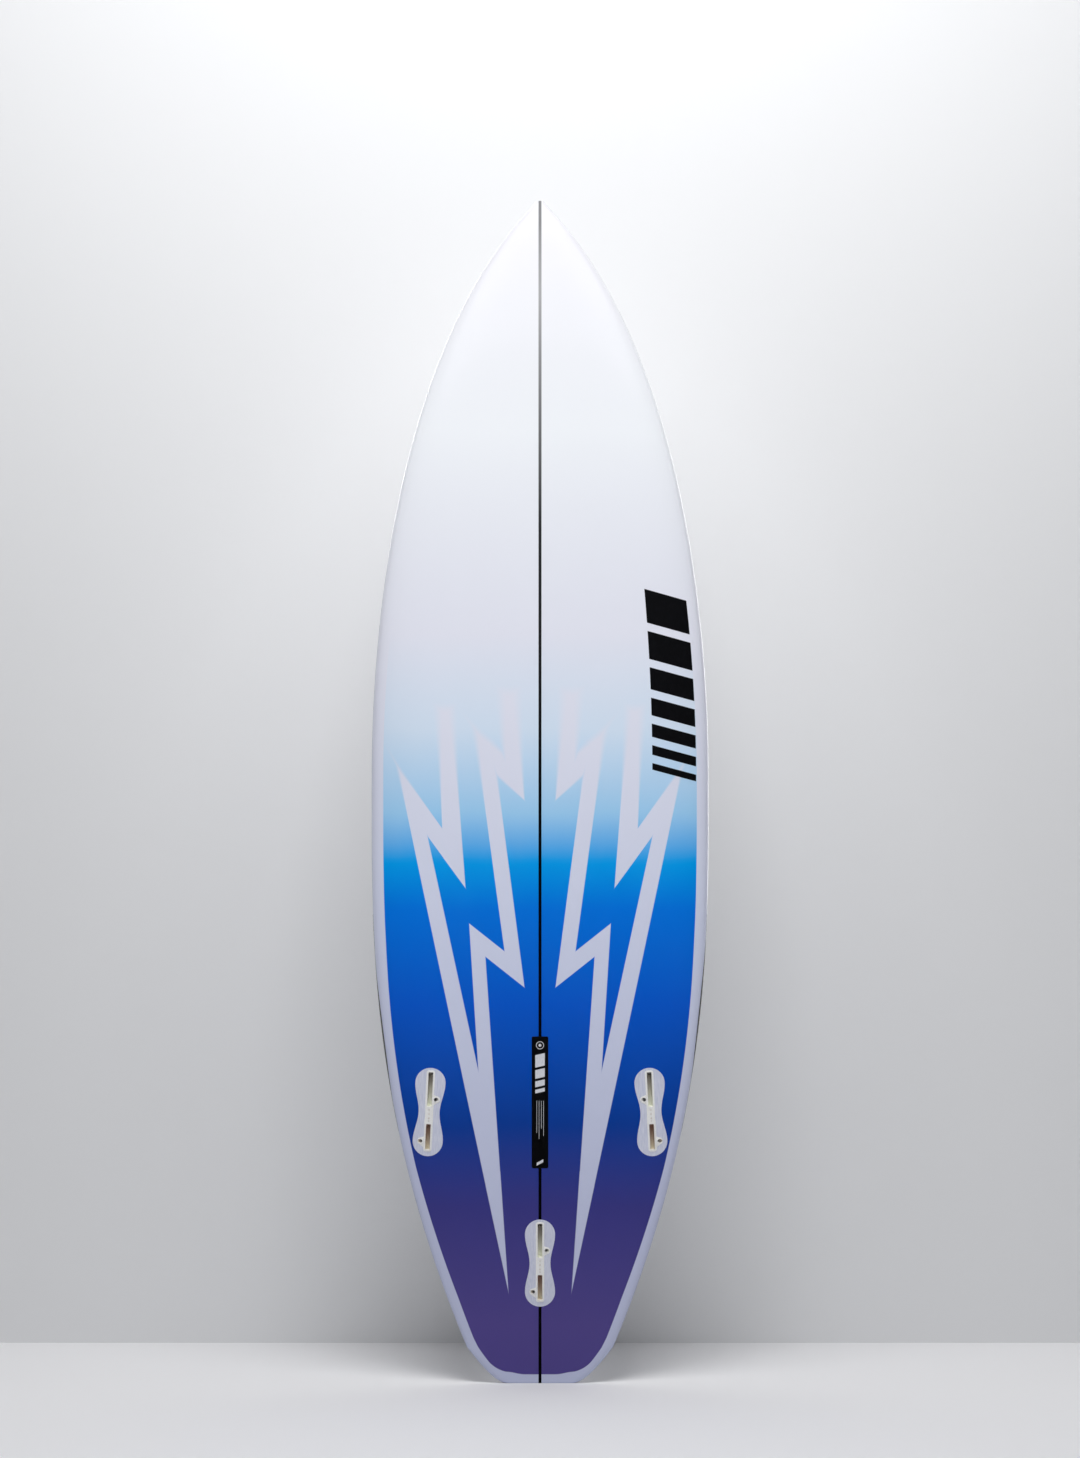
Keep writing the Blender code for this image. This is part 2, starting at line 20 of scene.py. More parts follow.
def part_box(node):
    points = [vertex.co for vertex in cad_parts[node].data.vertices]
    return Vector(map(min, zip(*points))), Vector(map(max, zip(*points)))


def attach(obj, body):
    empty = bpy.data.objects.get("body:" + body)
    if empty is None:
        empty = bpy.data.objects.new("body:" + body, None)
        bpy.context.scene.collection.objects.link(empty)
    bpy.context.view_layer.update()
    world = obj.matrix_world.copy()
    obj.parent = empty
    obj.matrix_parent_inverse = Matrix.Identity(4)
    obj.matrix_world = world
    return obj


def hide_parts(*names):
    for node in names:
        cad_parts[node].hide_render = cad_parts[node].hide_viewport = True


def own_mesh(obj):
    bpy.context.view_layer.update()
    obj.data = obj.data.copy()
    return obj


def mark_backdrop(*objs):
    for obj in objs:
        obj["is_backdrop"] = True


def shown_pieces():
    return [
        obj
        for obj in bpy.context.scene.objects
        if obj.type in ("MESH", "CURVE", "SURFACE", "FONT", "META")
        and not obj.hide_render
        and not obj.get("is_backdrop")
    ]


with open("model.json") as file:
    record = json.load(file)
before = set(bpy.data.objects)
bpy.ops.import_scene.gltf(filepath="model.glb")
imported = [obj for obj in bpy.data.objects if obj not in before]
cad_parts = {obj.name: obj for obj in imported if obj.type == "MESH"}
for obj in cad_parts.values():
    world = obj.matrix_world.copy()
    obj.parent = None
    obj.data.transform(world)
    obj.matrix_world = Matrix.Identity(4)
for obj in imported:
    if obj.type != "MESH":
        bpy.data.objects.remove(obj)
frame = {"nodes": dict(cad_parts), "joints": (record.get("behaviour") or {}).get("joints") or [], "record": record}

log = logging.getLogger("shortboard")

BOARD_BODY = "board"
# How far a fin seat lies out of the bottom, and how far tailwards of the plug's middle.
SEAT_RISE = 0.0005
SEAT_SHIFT = 0.0045
MM = 0.001
UNIT = (1.0, 1.0, 1.0)
Triple = tuple[float, float, float]
Flat = Callable[[np.ndarray, np.ndarray], tuple[np.ndarray, np.ndarray]]


# ---------------------------------------------------------------------------------------------
# Shader tools


def colour(code: str) -> tuple[float, float, float, float]:
    """Turn an sRGB hex value into the linear colour that a socket takes.

    Args:
        code: the colour, such as "#F4F3F8".

    Returns:
        Linear red, green, blue and an alpha of 1.
    """
    channels = [int(code[place : place + 2], 16) / 255 for place in (1, 3, 5)]
    linear = [c / 12.92 if c <= 0.04045 else ((c + 0.055) / 1.055) ** 2.4 for c in channels]
    return (*linear, 1.0)


def feed(tree: NodeTree, node: Node, inputs: dict) -> None:
    """Link or set a node's inputs.

    Args:
        tree: the node tree that holds the node.
        node: the node to feed.
        inputs: for each input's name or number, a socket to link from or a value to set.
    """
    for name, value in inputs.items():
        if isinstance(value, NodeSocket):
            tree.links.new(value, node.inputs[name])
        else:
            node.inputs[name].default_value = value


def add_node(
    tree: NodeTree, kind: str, inputs: dict | None = None, **settings: object
) -> Node:
    """Add a node with its settings, its values and its links.

    Args:
        tree: the node tree to add it to.
        kind: Blender's name for the node's type.
        inputs: for each input's name or number, a socket to link from or a value to set.
        settings: the node's own options.

    Returns:
        The new node.
    """
    node = tree.nodes.new(kind)
    for name, value in settings.items():
        setattr(node, name, value)
    feed(tree, node, inputs or {})
    return node


def new_material(name: str) -> tuple[Material, NodeTree, Node]:
    """Start a material and return it with its node tree and its shader."""
    material = bpy.data.materials.new(name)
    material.use_nodes = True
    tree = material.node_tree
    return material, tree, tree.nodes["Principled BSDF"]


def stretched_place(tree: NodeTree, stretch: Triple) -> NodeSocket:
    """The object's own coordinates in metres, each times its stretch."""
    place = add_node(tree, "ShaderNodeTexCoord").outputs["Object"]
    return add_node(tree, "ShaderNodeMapping", {"Vector": place, "Scale": stretch}).outputs[0]


def noise(
    tree: NodeTree, stretch: Triple = UNIT, scale: float = 1.0, detail: float = 2.0
) -> NodeSocket:
    """Noise over the object's own coordinates, each times its stretch."""
    inputs = {"Vector": stretched_place(tree, stretch), "Scale": scale, "Detail": detail}
    return add_node(tree, "ShaderNodeTexNoise", inputs).outputs["Fac"]


def maths(tree: NodeTree, operation: str, *values: object) -> NodeSocket:
    """The result of one operation on sockets or numbers."""
    node = add_node(tree, "ShaderNodeMath", dict(enumerate(values)), operation=operation)
    return node.outputs[0]


def folded(
    tree: NodeTree, operation: str, values: Sequence[NodeSocket]
) -> NodeSocket:
    """One value made of many by the same operation."""
    result = values[0]
    for value in values[1:]:
        result = maths(tree, operation, result, value)
    return result


def moved_range(
    tree: NodeTree,
    value: NodeSocket,
    source: tuple[float, float] = (0.0, 1.0),
    target: tuple[float, float] = (0.0, 1.0),
    kind: str = "LINEAR",
) -> NodeSocket:
    """A value moved from a source range to a target range, and held at its ends.

    Args:
        tree: the material's nodes.
        value: the value to move.
        source: the ends of the range it comes from.
        target: what those ends become.
        kind: Blender's name for how it goes from one end to the other.

    Returns:
        The moved value.
    """
    inputs = {
        "Value": value,
        "From Min": source[0],
        "From Max": source[1],
        "To Min": target[0],
        "To Max": target[1],
    }
    return add_node(tree, "ShaderNodeMapRange", inputs, interpolation_type=kind).outputs[0]


def attribute_value(tree: NodeTree, name: str) -> NodeSocket:
    """A mesh attribute's value."""
    return add_node(tree, "ShaderNodeAttribute", attribute_name=name).outputs["Fac"]


def ramp(
    tree: NodeTree,
    share: NodeSocket,
    stops: Sequence[tuple[float, str]],
) -> NodeSocket:
    """A colour ramp's colour.

    Args:
        tree: the material's nodes.
        share: the place on the ramp.
        stops: pairs of position, from 0 to 1 and rising, and hex colour.

    Returns:
        The colour.
    """
    node = add_node(tree, "ShaderNodeValToRGB", {"Fac": share})
    elements = node.color_ramp.elements
    while len(elements) < len(stops):
        elements.new(1.0)
    for element, (place, code) in zip(elements, stops):
        element.position = place
        element.color = colour(code)
    return node.outputs[0]


def mixed(
    tree: NodeTree,
    share: NodeSocket,
    one: NodeSocket,
    other: NodeSocket,
) -> NodeSocket:
    """One colour where share is 0, and another where it is 1."""
    inputs = {0: share, 6: one, 7: other}
    return add_node(tree, "ShaderNodeMix", inputs, data_type="RGBA").outputs[2]


def bump(
    tree: NodeTree,
    shader: Node,
    height: NodeSocket,
    strength: float,
    distance: float,
) -> None:
    """Raise a shader's surface by a height."""
    inputs = {"Height": height, "Strength": strength, "Distance": distance}
    feed(tree, shader, {"Normal": add_node(tree, "ShaderNodeBump", inputs).outputs[0]})


# ---------------------------------------------------------------------------------------------
# Modelling tools


def deselect() -> None:
    """Clear the selection of objects."""
    bpy.ops.object.select_all(action="DESELECT")


def only(obj: Object) -> Object:
    """Make an object the only selected one, and the active one."""
    deselect()
    obj.select_set(True)
    bpy.context.view_layer.objects.active = obj
    return obj


def added(name: str) -> Object:
    """Name the object that an operator has just added."""
    obj = bpy.context.active_object
    obj.name = name
    obj.data.name = name
    return obj


def points_of(obj: Object) -> np.ndarray:
    """An object's vertices as an array of three columns."""
    flat = np.empty(len(obj.data.vertices) * 3)
    obj.data.vertices.foreach_get("co", flat)
    return flat.reshape(-1, 3)


def move_points(obj: Object, points: np.ndarray) -> None:
    """Write an object's vertices back."""
    obj.data.vertices.foreach_set("co", points.astype(np.float32).ravel())
    obj.data.update()


def place_mesh(obj: Object, matrix: Matrix) -> Object:
    """Put an object's place into its mesh, with the object itself at the origin."""
    obj.data.transform(matrix @ obj.matrix_basis)
    obj.matrix_basis = Matrix.Identity(4)
    obj.data.update()
    return obj


def set_place(obj: Object) -> Object:
    """Apply the place at which a primitive was added."""
    return place_mesh(obj, Matrix.Identity(4))


def finish_modifier(obj: Object, kind: str, **settings: object) -> None:
    """Add a modifier with its settings and apply it."""
    only(obj)
    modifier = obj.modifiers.new(kind.lower(), kind)
    for name, value in settings.items():
        setattr(modifier, name, value)
    bpy.ops.object.modifier_apply(modifier=modifier.name)


def thicken(obj: Object, thickness: float, offset: float) -> None:
    """Turn an open sheet into a solid, outwards for an offset of 1 and inwards for -1."""
    finish_modifier(obj, "SOLIDIFY", thickness=thickness, offset=offset)


def bevel(obj: Object, width: float, segments: int, degrees: float) -> None:
    """Round off the edges that are sharper than an angle."""
    finish_modifier(
        obj,
        "BEVEL",
        width=width,
        segments=segments,
        limit_method="ANGLE",
        angle_limit=math.radians(degrees),
    )


def write_values(obj: Object, name: str, values: np.ndarray) -> None:
    """Write a number at each vertex, for a material to read."""
    attribute = obj.data.attributes.new(name, "FLOAT", "POINT")
    attribute.data.foreach_set("value", values.astype(np.float32))


def combine(obj: Object, others: Sequence[Object], operation: str) -> None:
    """Join or cut an object with others by exact Booleans, and remove those others.

    Args:
        obj: the object that stays.
        others: the shapes to add or to take away.
        operation: "UNION" or "DIFFERENCE".
    """
    for other in others:
        finish_modifier(obj, "BOOLEAN", operation=operation, solver="EXACT", object=other)
        bpy.data.objects.remove(other, do_unlink=True)


def edit(obj: Object, *steps: Callable[[], object]) -> None:
    """Select all of a mesh and run edit-mode operators on it."""
    only(obj)
    bpy.ops.object.mode_set(mode="EDIT")
    bpy.ops.mesh.select_all(action="SELECT")
    for step in steps:
        step()
    bpy.ops.object.mode_set(mode="OBJECT")


def clean(obj: Object, threshold: float = 1e-6) -> None:
    """Merge doubled vertices and turn every face outwards."""
    edit(
        obj,
        lambda: bpy.ops.mesh.remove_doubles(threshold=threshold),
        lambda: bpy.ops.mesh.normals_make_consistent(inside=False),
    )


def face_towards(obj: Object, direction: Vector) -> None:
    """Turn an open sheet over if it faces away from a direction."""
    facing = sum((face.normal * face.area for face in obj.data.polygons), Vector())
    if facing.dot(direction) < 0:
        edit(obj, bpy.ops.mesh.flip_normals)


def soften(obj: Object, degrees: float = 35.0) -> None:
    """Shade an object smooth, with edges sharper than an angle kept crisp."""
    only(obj)
    bpy.ops.object.shade_smooth_by_angle(angle=math.radians(degrees))


def join(name: str, objects: Sequence[Object]) -> Object:
    """Make one piece of several objects."""
    only(objects[0])
    for other in objects[1:]:
        other.select_set(True)
    bpy.ops.object.join()
    return added(name)


def mapped_grid(
    name: str,
    columns: int,
    rows: int,
    surface: Callable[[np.ndarray, np.ndarray], np.ndarray],
) -> Object:
    """Add a grid and lay its vertices on a surface.

    Args:
        name: the new object's name.
        columns: how many faces the grid has across.
        rows: how many faces it has along.
        surface: gives points for shares across and along, both from 0 to 1.

    Returns:
        The grid, as an open sheet.
    """
    deselect()
    bpy.ops.mesh.primitive_grid_add(x_subdivisions=columns, y_subdivisions=rows, size=2.0)
    obj = added(name)
    shares = (points_of(obj) + 1.0) / 2.0
    move_points(obj, surface(shares[:, 0], shares[:, 1]))
    return obj


def turned(
    name: str, profile: Sequence[tuple[float, float]], steps: int = 32
) -> Object:
    """Draw a round solid upwards from a disc, ring by ring.

    Args:
        name: the new object's name.
        profile: pairs of radius and height, from the first cap to the last.
        steps: how many sides a ring has.

    Returns:
        The closed solid, about the z axis.
    """
    deselect()
    radius, height = profile[0]
    bpy.ops.mesh.primitive_circle_add(
        vertices=steps, radius=radius, fill_type="NGON", location=(0.0, 0.0, height)
    )
    obj = set_place(added(name))
    only(obj)
    bpy.ops.object.mode_set(mode="EDIT")
    bpy.ops.mesh.select_all(action="SELECT")
    for new_radius, new_height in profile[1:]:
        bpy.ops.mesh.extrude_region_move(
            TRANSFORM_OT_translate={"value": (0.0, 0.0, new_height - height)}
        )
        ratio = new_radius / radius
        bpy.ops.transform.resize(
            value=(ratio, ratio, 1.0), center_override=(0.0, 0.0, new_height)
        )
        radius, height = new_radius, new_height
    bpy.ops.mesh.select_all(action="SELECT")
    bpy.ops.mesh.normals_make_consistent(inside=False)
    bpy.ops.object.mode_set(mode="OBJECT")
    return obj


def block(
    name: str, low: tuple[float, float, float], high: tuple[float, float, float]
) -> Object:
    """A box between two corners."""
    deselect()
    bpy.ops.mesh.primitive_cube_add(
        size=1.0,
        location=[(a + b) / 2 for a, b in zip(low, high)],
        scale=[b - a for a, b in zip(low, high)],
    )
    return set_place(added(name))


def drum(
    name: str, radius: float, low: float, high: float, centre: tuple[float, float], steps: int = 32
) -> Object:
    """An upright cylinder from one height to another."""
    deselect()
    bpy.ops.mesh.primitive_cylinder_add(
        vertices=steps,
        radius=radius,
        depth=high - low,
        location=(centre[0], centre[1], (low + high) / 2),
    )
    return set_place(added(name))


def slot_block(
    name: str,
    width: float,
    ends: tuple[float, float],
    heights: tuple[float, float],
    corner: float,
) -> Object:
    """An upright solid with rounded corners, which runs along y.

    Args:
        name: the new object's name.
        width: how wide it is.
        ends: the y of its two ends.
        heights: its lowest and highest heights.
        corner: the radius of its corners.

    Returns:
        The closed solid.
    """
    sides = 32
    obj = drum(name, corner, *heights, (0.0, 0.0), sides)
    obj.data.transform(Matrix.Rotation(math.pi / sides, 4, "Z"))
    points = points_of(obj)
    points[:, 0] += np.sign(points[:, 0]) * (width / 2 - corner)
    points[:, 1] += np.where(points[:, 1] > 0, ends[1] - corner, ends[0] + corner)
    move_points(obj, points)
    return obj


# ---------------------------------------------------------------------------------------------
# The board's form


class Face(Enum):
    """The two faces of the board."""

    BOTTOM = -1
    DECK = 1


@dataclass(frozen=True)
class BoardForm:
    """The outline, foil and sections that the whole board is drawn on."""

    length: float = 1.626
    width: float = 0.458
    thickness: float = 0.054
    nose_rocker: float = 0.115
    tail_rocker: float = 0.050
    tail_thickness: float = 0.014
    nose_thickness: float = 0.008
    concave: float = 0.0022
    tail_flat_half: float = 0.046
    tail_corner: tuple[float, float] = (0.100, 0.050)
    corner_pull: tuple[float, float, float] = (0.30, 0.21, 0.69)
    nose_tip_half: float = 0.003
    wide_point: float = 0.5105
    tail_curve: tuple = ((1.027, 0.2327), (1.0, 0.383))
    nose_curve: tuple = ((1.0, 0.546), (1.010, 0.854))
    flat_spot: float = 0.45
    thick_spot: float = 0.52
    rocker_powers: tuple[float, float] = (2.2, 2.6)
    foil_powers: tuple[float, float] = (1.9, 1.75)
    rail_apex: tuple[float, float, float] = (0.30, 0.40, 0.50)
    bottom_power: tuple[float, float, float] = (14.0, 7.0, 3.0)
    deck_power: tuple[float, float, float] = (2.5, 2.3, 2.1)
    nose_round: float = 0.003
    corner_steps: int = 30
    tail_steps: int = 70
    nose_steps: int = 80
    tip_steps: int = 6

    @staticmethod
    def bezier(points: Sequence[tuple[float, float]], shares: np.ndarray) -> np.ndarray:
        """Points of a cubic Bezier curve at the given shares of it."""
        t = shares[:, None]
        a, b, c, d = np.array(points)
        return (1 - t) ** 3 * a + 3 * (1 - t) ** 2 * t * b + 3 * (1 - t) * t**2 * c + t**3 * d

    def outline(self) -> np.ndarray:
        """Rows of half-width and height, from the tail's flat end to the start of the tip."""
        half = self.width / 2
        reach = self.tail_corner[0] - self.tail_flat_half
        start, turn, climb = self.corner_pull
        widest = (half, self.wide_point * self.length)
        corner = self.bezier(
            [
                (self.tail_flat_half, 0.0),
                (self.tail_flat_half + start * reach, 0.0),
                (self.tail_corner[0] - turn * reach, climb * self.tail_corner[1]),
                self.tail_corner,
            ],
            np.linspace(0.0, 1.0, self.corner_steps + 1),
        )
        tail = self.bezier(
            [self.tail_corner]
            + [(half * w, self.length * z) for w, z in self.tail_curve]
            + [widest],
            np.linspace(0.0, 1.0, self.tail_steps + 1),
        )
        nose = self.bezier(
            [widest]
            + [(half * w, self.length * z) for w, z in self.nose_curve]
            + [(self.nose_tip_half, self.length)],
            np.sin(np.linspace(0.0, math.pi / 2, self.nose_steps + 1)),
        )
        rows = np.concatenate([corner[:-1], tail[:-1], nose])
        return rows[rows[:, 1] < self.length - self.nose_round]

    def half_width(self, z: np.ndarray | float) -> np.ndarray:
        """Half the board's width at a height."""
        rows = self.outline()
        return np.interp(z, rows[:, 1], rows[:, 0])

    def between(self, values: Sequence[float], z: np.ndarray | float) -> np.ndarray:
        """A section value at a height, from its values at tail, middle and nose."""
        return np.interp(np.asarray(z) / self.length, (0.0, 0.5, 1.0), values)

    def towards_ends(
        self, z: np.ndarray | float, spot: float, powers: tuple[float, float]
    ) -> tuple[np.ndarray, np.ndarray]:
        """How near a height is to the tail and to the nose.

        Args:
            z: height.
            spot: share of the length at which both are 0.
            powers: how sharply each rises to 1 at its end.

        Returns:
            Nearness to the tail and nearness to the nose.
        """
        spot *= self.length
        z = np.clip(z, 0.0, self.length)
        low = np.clip((spot - z) / spot, 0.0, 1.0) ** powers[0]
        high = np.clip((z - spot) / (self.length - spot), 0.0, 1.0) ** powers[1]
        return low, high

    def depth(self, z: np.ndarray | float) -> np.ndarray:
        """Thickness on the centre line at a height."""
        low, high = self.towards_ends(z, self.thick_spot, self.foil_powers)
        return (
            self.thickness
            - (self.thickness - self.tail_thickness) * low
            - (self.thickness - self.nose_thickness) * high
        )

    def rocker(self, z: np.ndarray | float) -> np.ndarray:
        """How far the bottom's centre line curves towards the deck at a height."""
        low, high = self.towards_ends(z, self.flat_spot, self.rocker_powers)
        return self.tail_rocker * low + self.nose_rocker * high

    def middle(self) -> float:
        """Y of the frame's origin over the lowest point of the bottom."""
        return float(self.rocker(self.length) + self.depth(self.length)) / 2

    def rail_y(self, z: np.ndarray | float) -> np.ndarray:
        """Y of the rail's apex at a height."""
        return self.rocker(z) + self.between(self.rail_apex, z) * self.depth(z) - self.middle()

    def surface_y(self, face: Face, share: np.ndarray, z: np.ndarray) -> np.ndarray:
        """Y of a face.

        Args:
            face: which face.
            share: place across, as a share of half the width, from 0 to 1.
            z: height.

        Returns:
            Y at each place.
        """
        share = np.clip(np.abs(share), 0.0, 1.0)
        apex = self.between(self.rail_apex, z) * self.depth(z)
        if face is Face.BOTTOM:
            fall = np.sqrt(1.0 - share ** self.between(self.bottom_power, z))
            hollow = self.concave * np.sin(np.pi * np.clip(z / self.length, 0.0, 1.0))
            y = apex * (1.0 - fall) + hollow * (1.0 - share**2) ** 2
        else:
            fall = np.sqrt(1.0 - share ** self.between(self.deck_power, z))
            y = apex + (self.depth(z) - apex) * fall
        return self.rocker(z) + y - self.middle()

    def on_bottom(self, x: np.ndarray, z: np.ndarray, raised: float) -> np.ndarray:
        """Points on the bottom at the given x and z, raised off it."""
        y = self.surface_y(Face.BOTTOM, x / self.half_width(z), z)
        return np.stack([x, y - raised, z], axis=1)


# ---------------------------------------------------------------------------------------------
# Finishes


@dataclass(frozen=True)
class FoamFinish:
    """Polyurethane foam: shaped and sanded, with fine open cells and no shine."""

    tint: str = "#F1EFE6"
    cell: float = 0.8 * MM

    def material(self) -> Material:
        """Build the foam."""
        material, tree, shader = new_material("sanded_polyurethane_foam")
        place = stretched_place(tree, UNIT)
        cells = add_node(
            tree, "ShaderNodeTexVoronoi", {"Vector": place, "Scale": 1.0 / self.cell}
        ).outputs["Distance"]
        # Painted shade: each cell is darkest at its middle, where the bump sinks it.
        tone = ramp(tree, cells, [(0.0, "#DAD6C8"), (0.5, self.tint), (1.0, "#FAF9F3")])
        feed(tree, shader, {"Base Color": tone, "Roughness": 0.9})
        bump(tree, shader, cells, 0.4, 0.1 * MM)
        return material


@dataclass(frozen=True)
class StringerFinish:
    """Stained plywood: a dark strip with grain that runs along the board."""

    grain: float = 1.2 * MM

    def material(self) -> Material:
        """Build the plywood."""
        material, tree, shader = new_material("black_stained_plywood")
        grain = noise(tree, (1.0 / self.grain, 1.0 / self.grain, 0.02 / self.grain))
        tone = ramp(tree, grain, [(0.3, "#0B0A0C"), (0.7, "#231F20")])
        feed(tree, shader, {"Base Color": tone, "Roughness": 0.7})
        return material


@dataclass(frozen=True)
class SkinFinish:
    """Fibreglass and polyester resin, sanded and glossed, over white foam.

    The cloth's weave shows faintly under the resin, the dark stringer shows through it as a
    line, and the bottom is airbrushed inside a taped edge, round two pairs of masked bolts.
    """

    # Half-width of the line that the stringer makes.
    line_half: float = 2.05 * MM
    # Half-width of the blur at that line's edges.
    line_blur: float = 0.35 * MM
    # How the stringer shows through the glass, from tail to nose: black, with a paler grey near the nose that is a
    # painted highlight.
    stringer_dark_and_painted_highlight: tuple = (
        (0.50, "#060609"),
        (0.72, "#2E2E30"),
        (0.92, "#98989A"),
        (0.98, "#707072"),
    )
    # Thread spacing of the glass cloth.
    weave: float = 1.3 * MM
    # Clear white board beside the paint: darker and a little bluer towards the tail.
    whites: tuple = ((0.15, "#CED4F0"), (0.35, "#D8DEF6"))
    # Clear white board above the paint, in which the paint fades out. It turns darker towards the nose as painted
    # shade, which tones down the strong light there.
    upper_whites_painted_shade: tuple = ((0.63, "#E6E8F4"), (0.80, "#E8EBF0"), (0.96, "#D6D6DC"))
    # Clear white deck.
    deck_whites: tuple = ((0.10, "#E6E7EC"), (0.90, "#E9E9EB"))
    # Airbrushed colours, by height as a share of the board's length.
    sprayed: tuple = (
        (0.05, "#5A4E98"),  # violet
        (0.15, "#403F90"),  # indigo
        (0.22, "#003FA2"),  # ultramarine
        (0.32, "#005CD6"),  # royal blue
        (0.40, "#0078E8"),  # bright blue
        (0.44, "#00A2F4"),  # azure
        (0.48, "#A0D2F8"),  # sky
        (0.55, "#D6E6F8"),  # mist
    )
    # Waver of the spray, as a share of the board's length.
    waver: float = 0.010
    # Half-width of the blur at the taped edge.
    tape_blur: float = 0.4 * MM
    # Heights between which the bolts' edges turn soft, and half the blur's width at each.
    blur_heights: tuple[float, float] = (0.77, 0.97)
    bolt_blurs: tuple[float, float] = (0.5 * MM, 10.0 * MM)
    # Corners of the masked bolts as pairs of x and z in mm, as four-sided pieces that overlap.
    bolts: tuple = (
        ((54, 947), (48, 822), (21, 798), (31, 947)),
        ((89, 896), (50, 863), (21, 798), (59, 832)),
        ((89, 896), (44, 563), (21, 544), (64, 876)),
        ((96, 631), (48, 593), (21, 544), (74, 586)),
        ((96, 631), (74, 274), (43, 127), (76, 615)),
        ((139, 924), (131, 720), (101, 679), (119, 924)),
        ((194, 846), (132, 759), (101, 679), (152, 749)),
        ((194, 846), (43, 127), (54, 293), (164, 803)),
    )

    def half_plane(
        self, tree: NodeTree, point: NodeSocket, ends: tuple, middle: np.ndarray
    ) -> NodeSocket:
        """Distance out of one edge of a masked piece, in metres.

        Args:
            tree: the material's nodes.
            point: a vector of x, z and 1.
            ends: the edge's two ends, in mm.
            middle: a point inside the piece, in mm.

        Returns:
            The distance, negative on the piece's own side.
        """
        one, other = (np.array(end, float) * MM for end in ends)
        along = other - one
        out = np.array([along[1], -along[0]]) / np.linalg.norm(along)
        if out @ (middle * MM - one) > 0:
            out = -out
        values = (float(out[0]), float(out[1]), float(-(out @ one)))
        dot = add_node(
            tree, "ShaderNodeVectorMath", {0: point, 1: values}, operation="DOT_PRODUCT"
        )
        return dot.outputs["Value"]

    def bolt_distance(
        self, tree: NodeTree, point: NodeSocket
    ) -> NodeSocket:
        """Distance out of the nearest masked bolt, negative inside one."""
        pieces = []
        for corners in self.bolts:
            middle = np.mean(np.array(corners, float), axis=0)
            edges = [
                self.half_plane(tree, point, ends, middle)
                for ends in zip(corners, corners[1:] + corners[:1])
            ]
            pieces.append(folded(tree, "MAXIMUM", edges))
        return folded(tree, "MINIMUM", pieces)

    def material(self, form: BoardForm, face: Face) -> Material:
        """Build the skin of one face.

        Args:
            form: the board's form, for its length.
            face: the bottom, which is sprayed, or the deck, which is left white.

        Returns:
            The material.
        """
        sprayed = face is Face.BOTTOM
        name = "airbrushed_glossed_fibreglass" if sprayed else "sanded_white_fibreglass"
        material, tree, shader = new_material(name)
        place = add_node(tree, "ShaderNodeTexCoord").outputs["Object"]
        split = add_node(tree, "ShaderNodeSeparateXYZ", {0: place})
        x, z = split.outputs[0], split.outputs[2]
        side = maths(tree, "ABSOLUTE", x)
        reach = maths(tree, "DIVIDE", z, form.length)
        cloud = noise(tree, (14.0, 14.0, 6.0), detail=5.0)
        wander = maths(tree, "MULTIPLY_ADD", cloud, self.waver, -self.waver / 2)
        drift = maths(tree, "ADD", reach, wander)

        # Above the paint, the whites darken towards the nose as painted shade.
        stops = self.whites + self.upper_whites_painted_shade if sprayed else self.deck_whites
        tone = ramp(tree, reach, stops)
        if sprayed:
            tone = self.spray(tree, tone, side, z, drift)

        # The stringer under the glass, with its painted highlight towards the nose.
        line = (self.line_half - self.line_blur, self.line_half + self.line_blur)
        edge = moved_range(tree, side, line, (1.0, 0.0), "SMOOTHSTEP")
        tone = mixed(tree, edge, tone, ramp(tree, reach, self.stringer_dark_and_painted_highlight))

        # Plain weave of the cloth under the resin, and the long scratches of the last sanding.
        threads = [
            maths(tree, "SINE", maths(tree, "MULTIPLY", axis, math.pi / self.weave))
            for axis in (x, z)
        ]
        weave = maths(tree, "MULTIPLY", *threads)
        scratch = noise(tree, (900.0, 900.0, 12.0))
        bump(tree, shader, maths(tree, "MULTIPLY_ADD", weave, 0.5, scratch), 0.10, 0.02 * MM)
        look = {
            "Base Color": tone,
            "Roughness": moved_range(tree, cloud, (0.3, 0.7), (0.20, 0.26)),
            "IOR": 1.5,
            "Coat Weight": 0.3,
            "Coat Roughness": 0.08,
        }
        feed(tree, shader, look)
        return material

    def spray(
        self,
        tree: NodeTree,
        white: NodeSocket,
        side: NodeSocket,
        z: NodeSocket,
        drift: NodeSocket,
    ) -> NodeSocket:
        """Lay the airbrushed colours over the white.

        Args:
            tree: the material's nodes.
            white: the bare board's colour.
            side: distance from the centre line.
            z: height.
            drift: height as a share of the length, with the small waver of the spray.

        Returns:
            The colour of the sprayed board.
        """
        # The paint fades into the whites above it, which hold painted shade at the nose.
        paint = ramp(tree, drift, self.sprayed + self.upper_whites_painted_shade)
        point = add_node(tree, "ShaderNodeCombineXYZ", {0: side, 1: z, 2: 1.0}).outputs[0]
        distance = self.bolt_distance(tree, point)
        blur = moved_range(tree, z, self.blur_heights, self.bolt_blurs, "SMOOTHSTEP")
        ratio = maths(tree, "DIVIDE", distance, blur)
        outside = moved_range(tree, ratio, (-1.0, 1.0), kind="SMOOTHSTEP")
        tape = (-self.tape_blur, self.tape_blur)
        inside_tape = moved_range(
            tree, attribute_value(tree, "inside_tape"), tape, kind="SMOOTHSTEP"
        )
        return mixed(tree, maths(tree, "MULTIPLY", outside, inside_tape), white, paint)


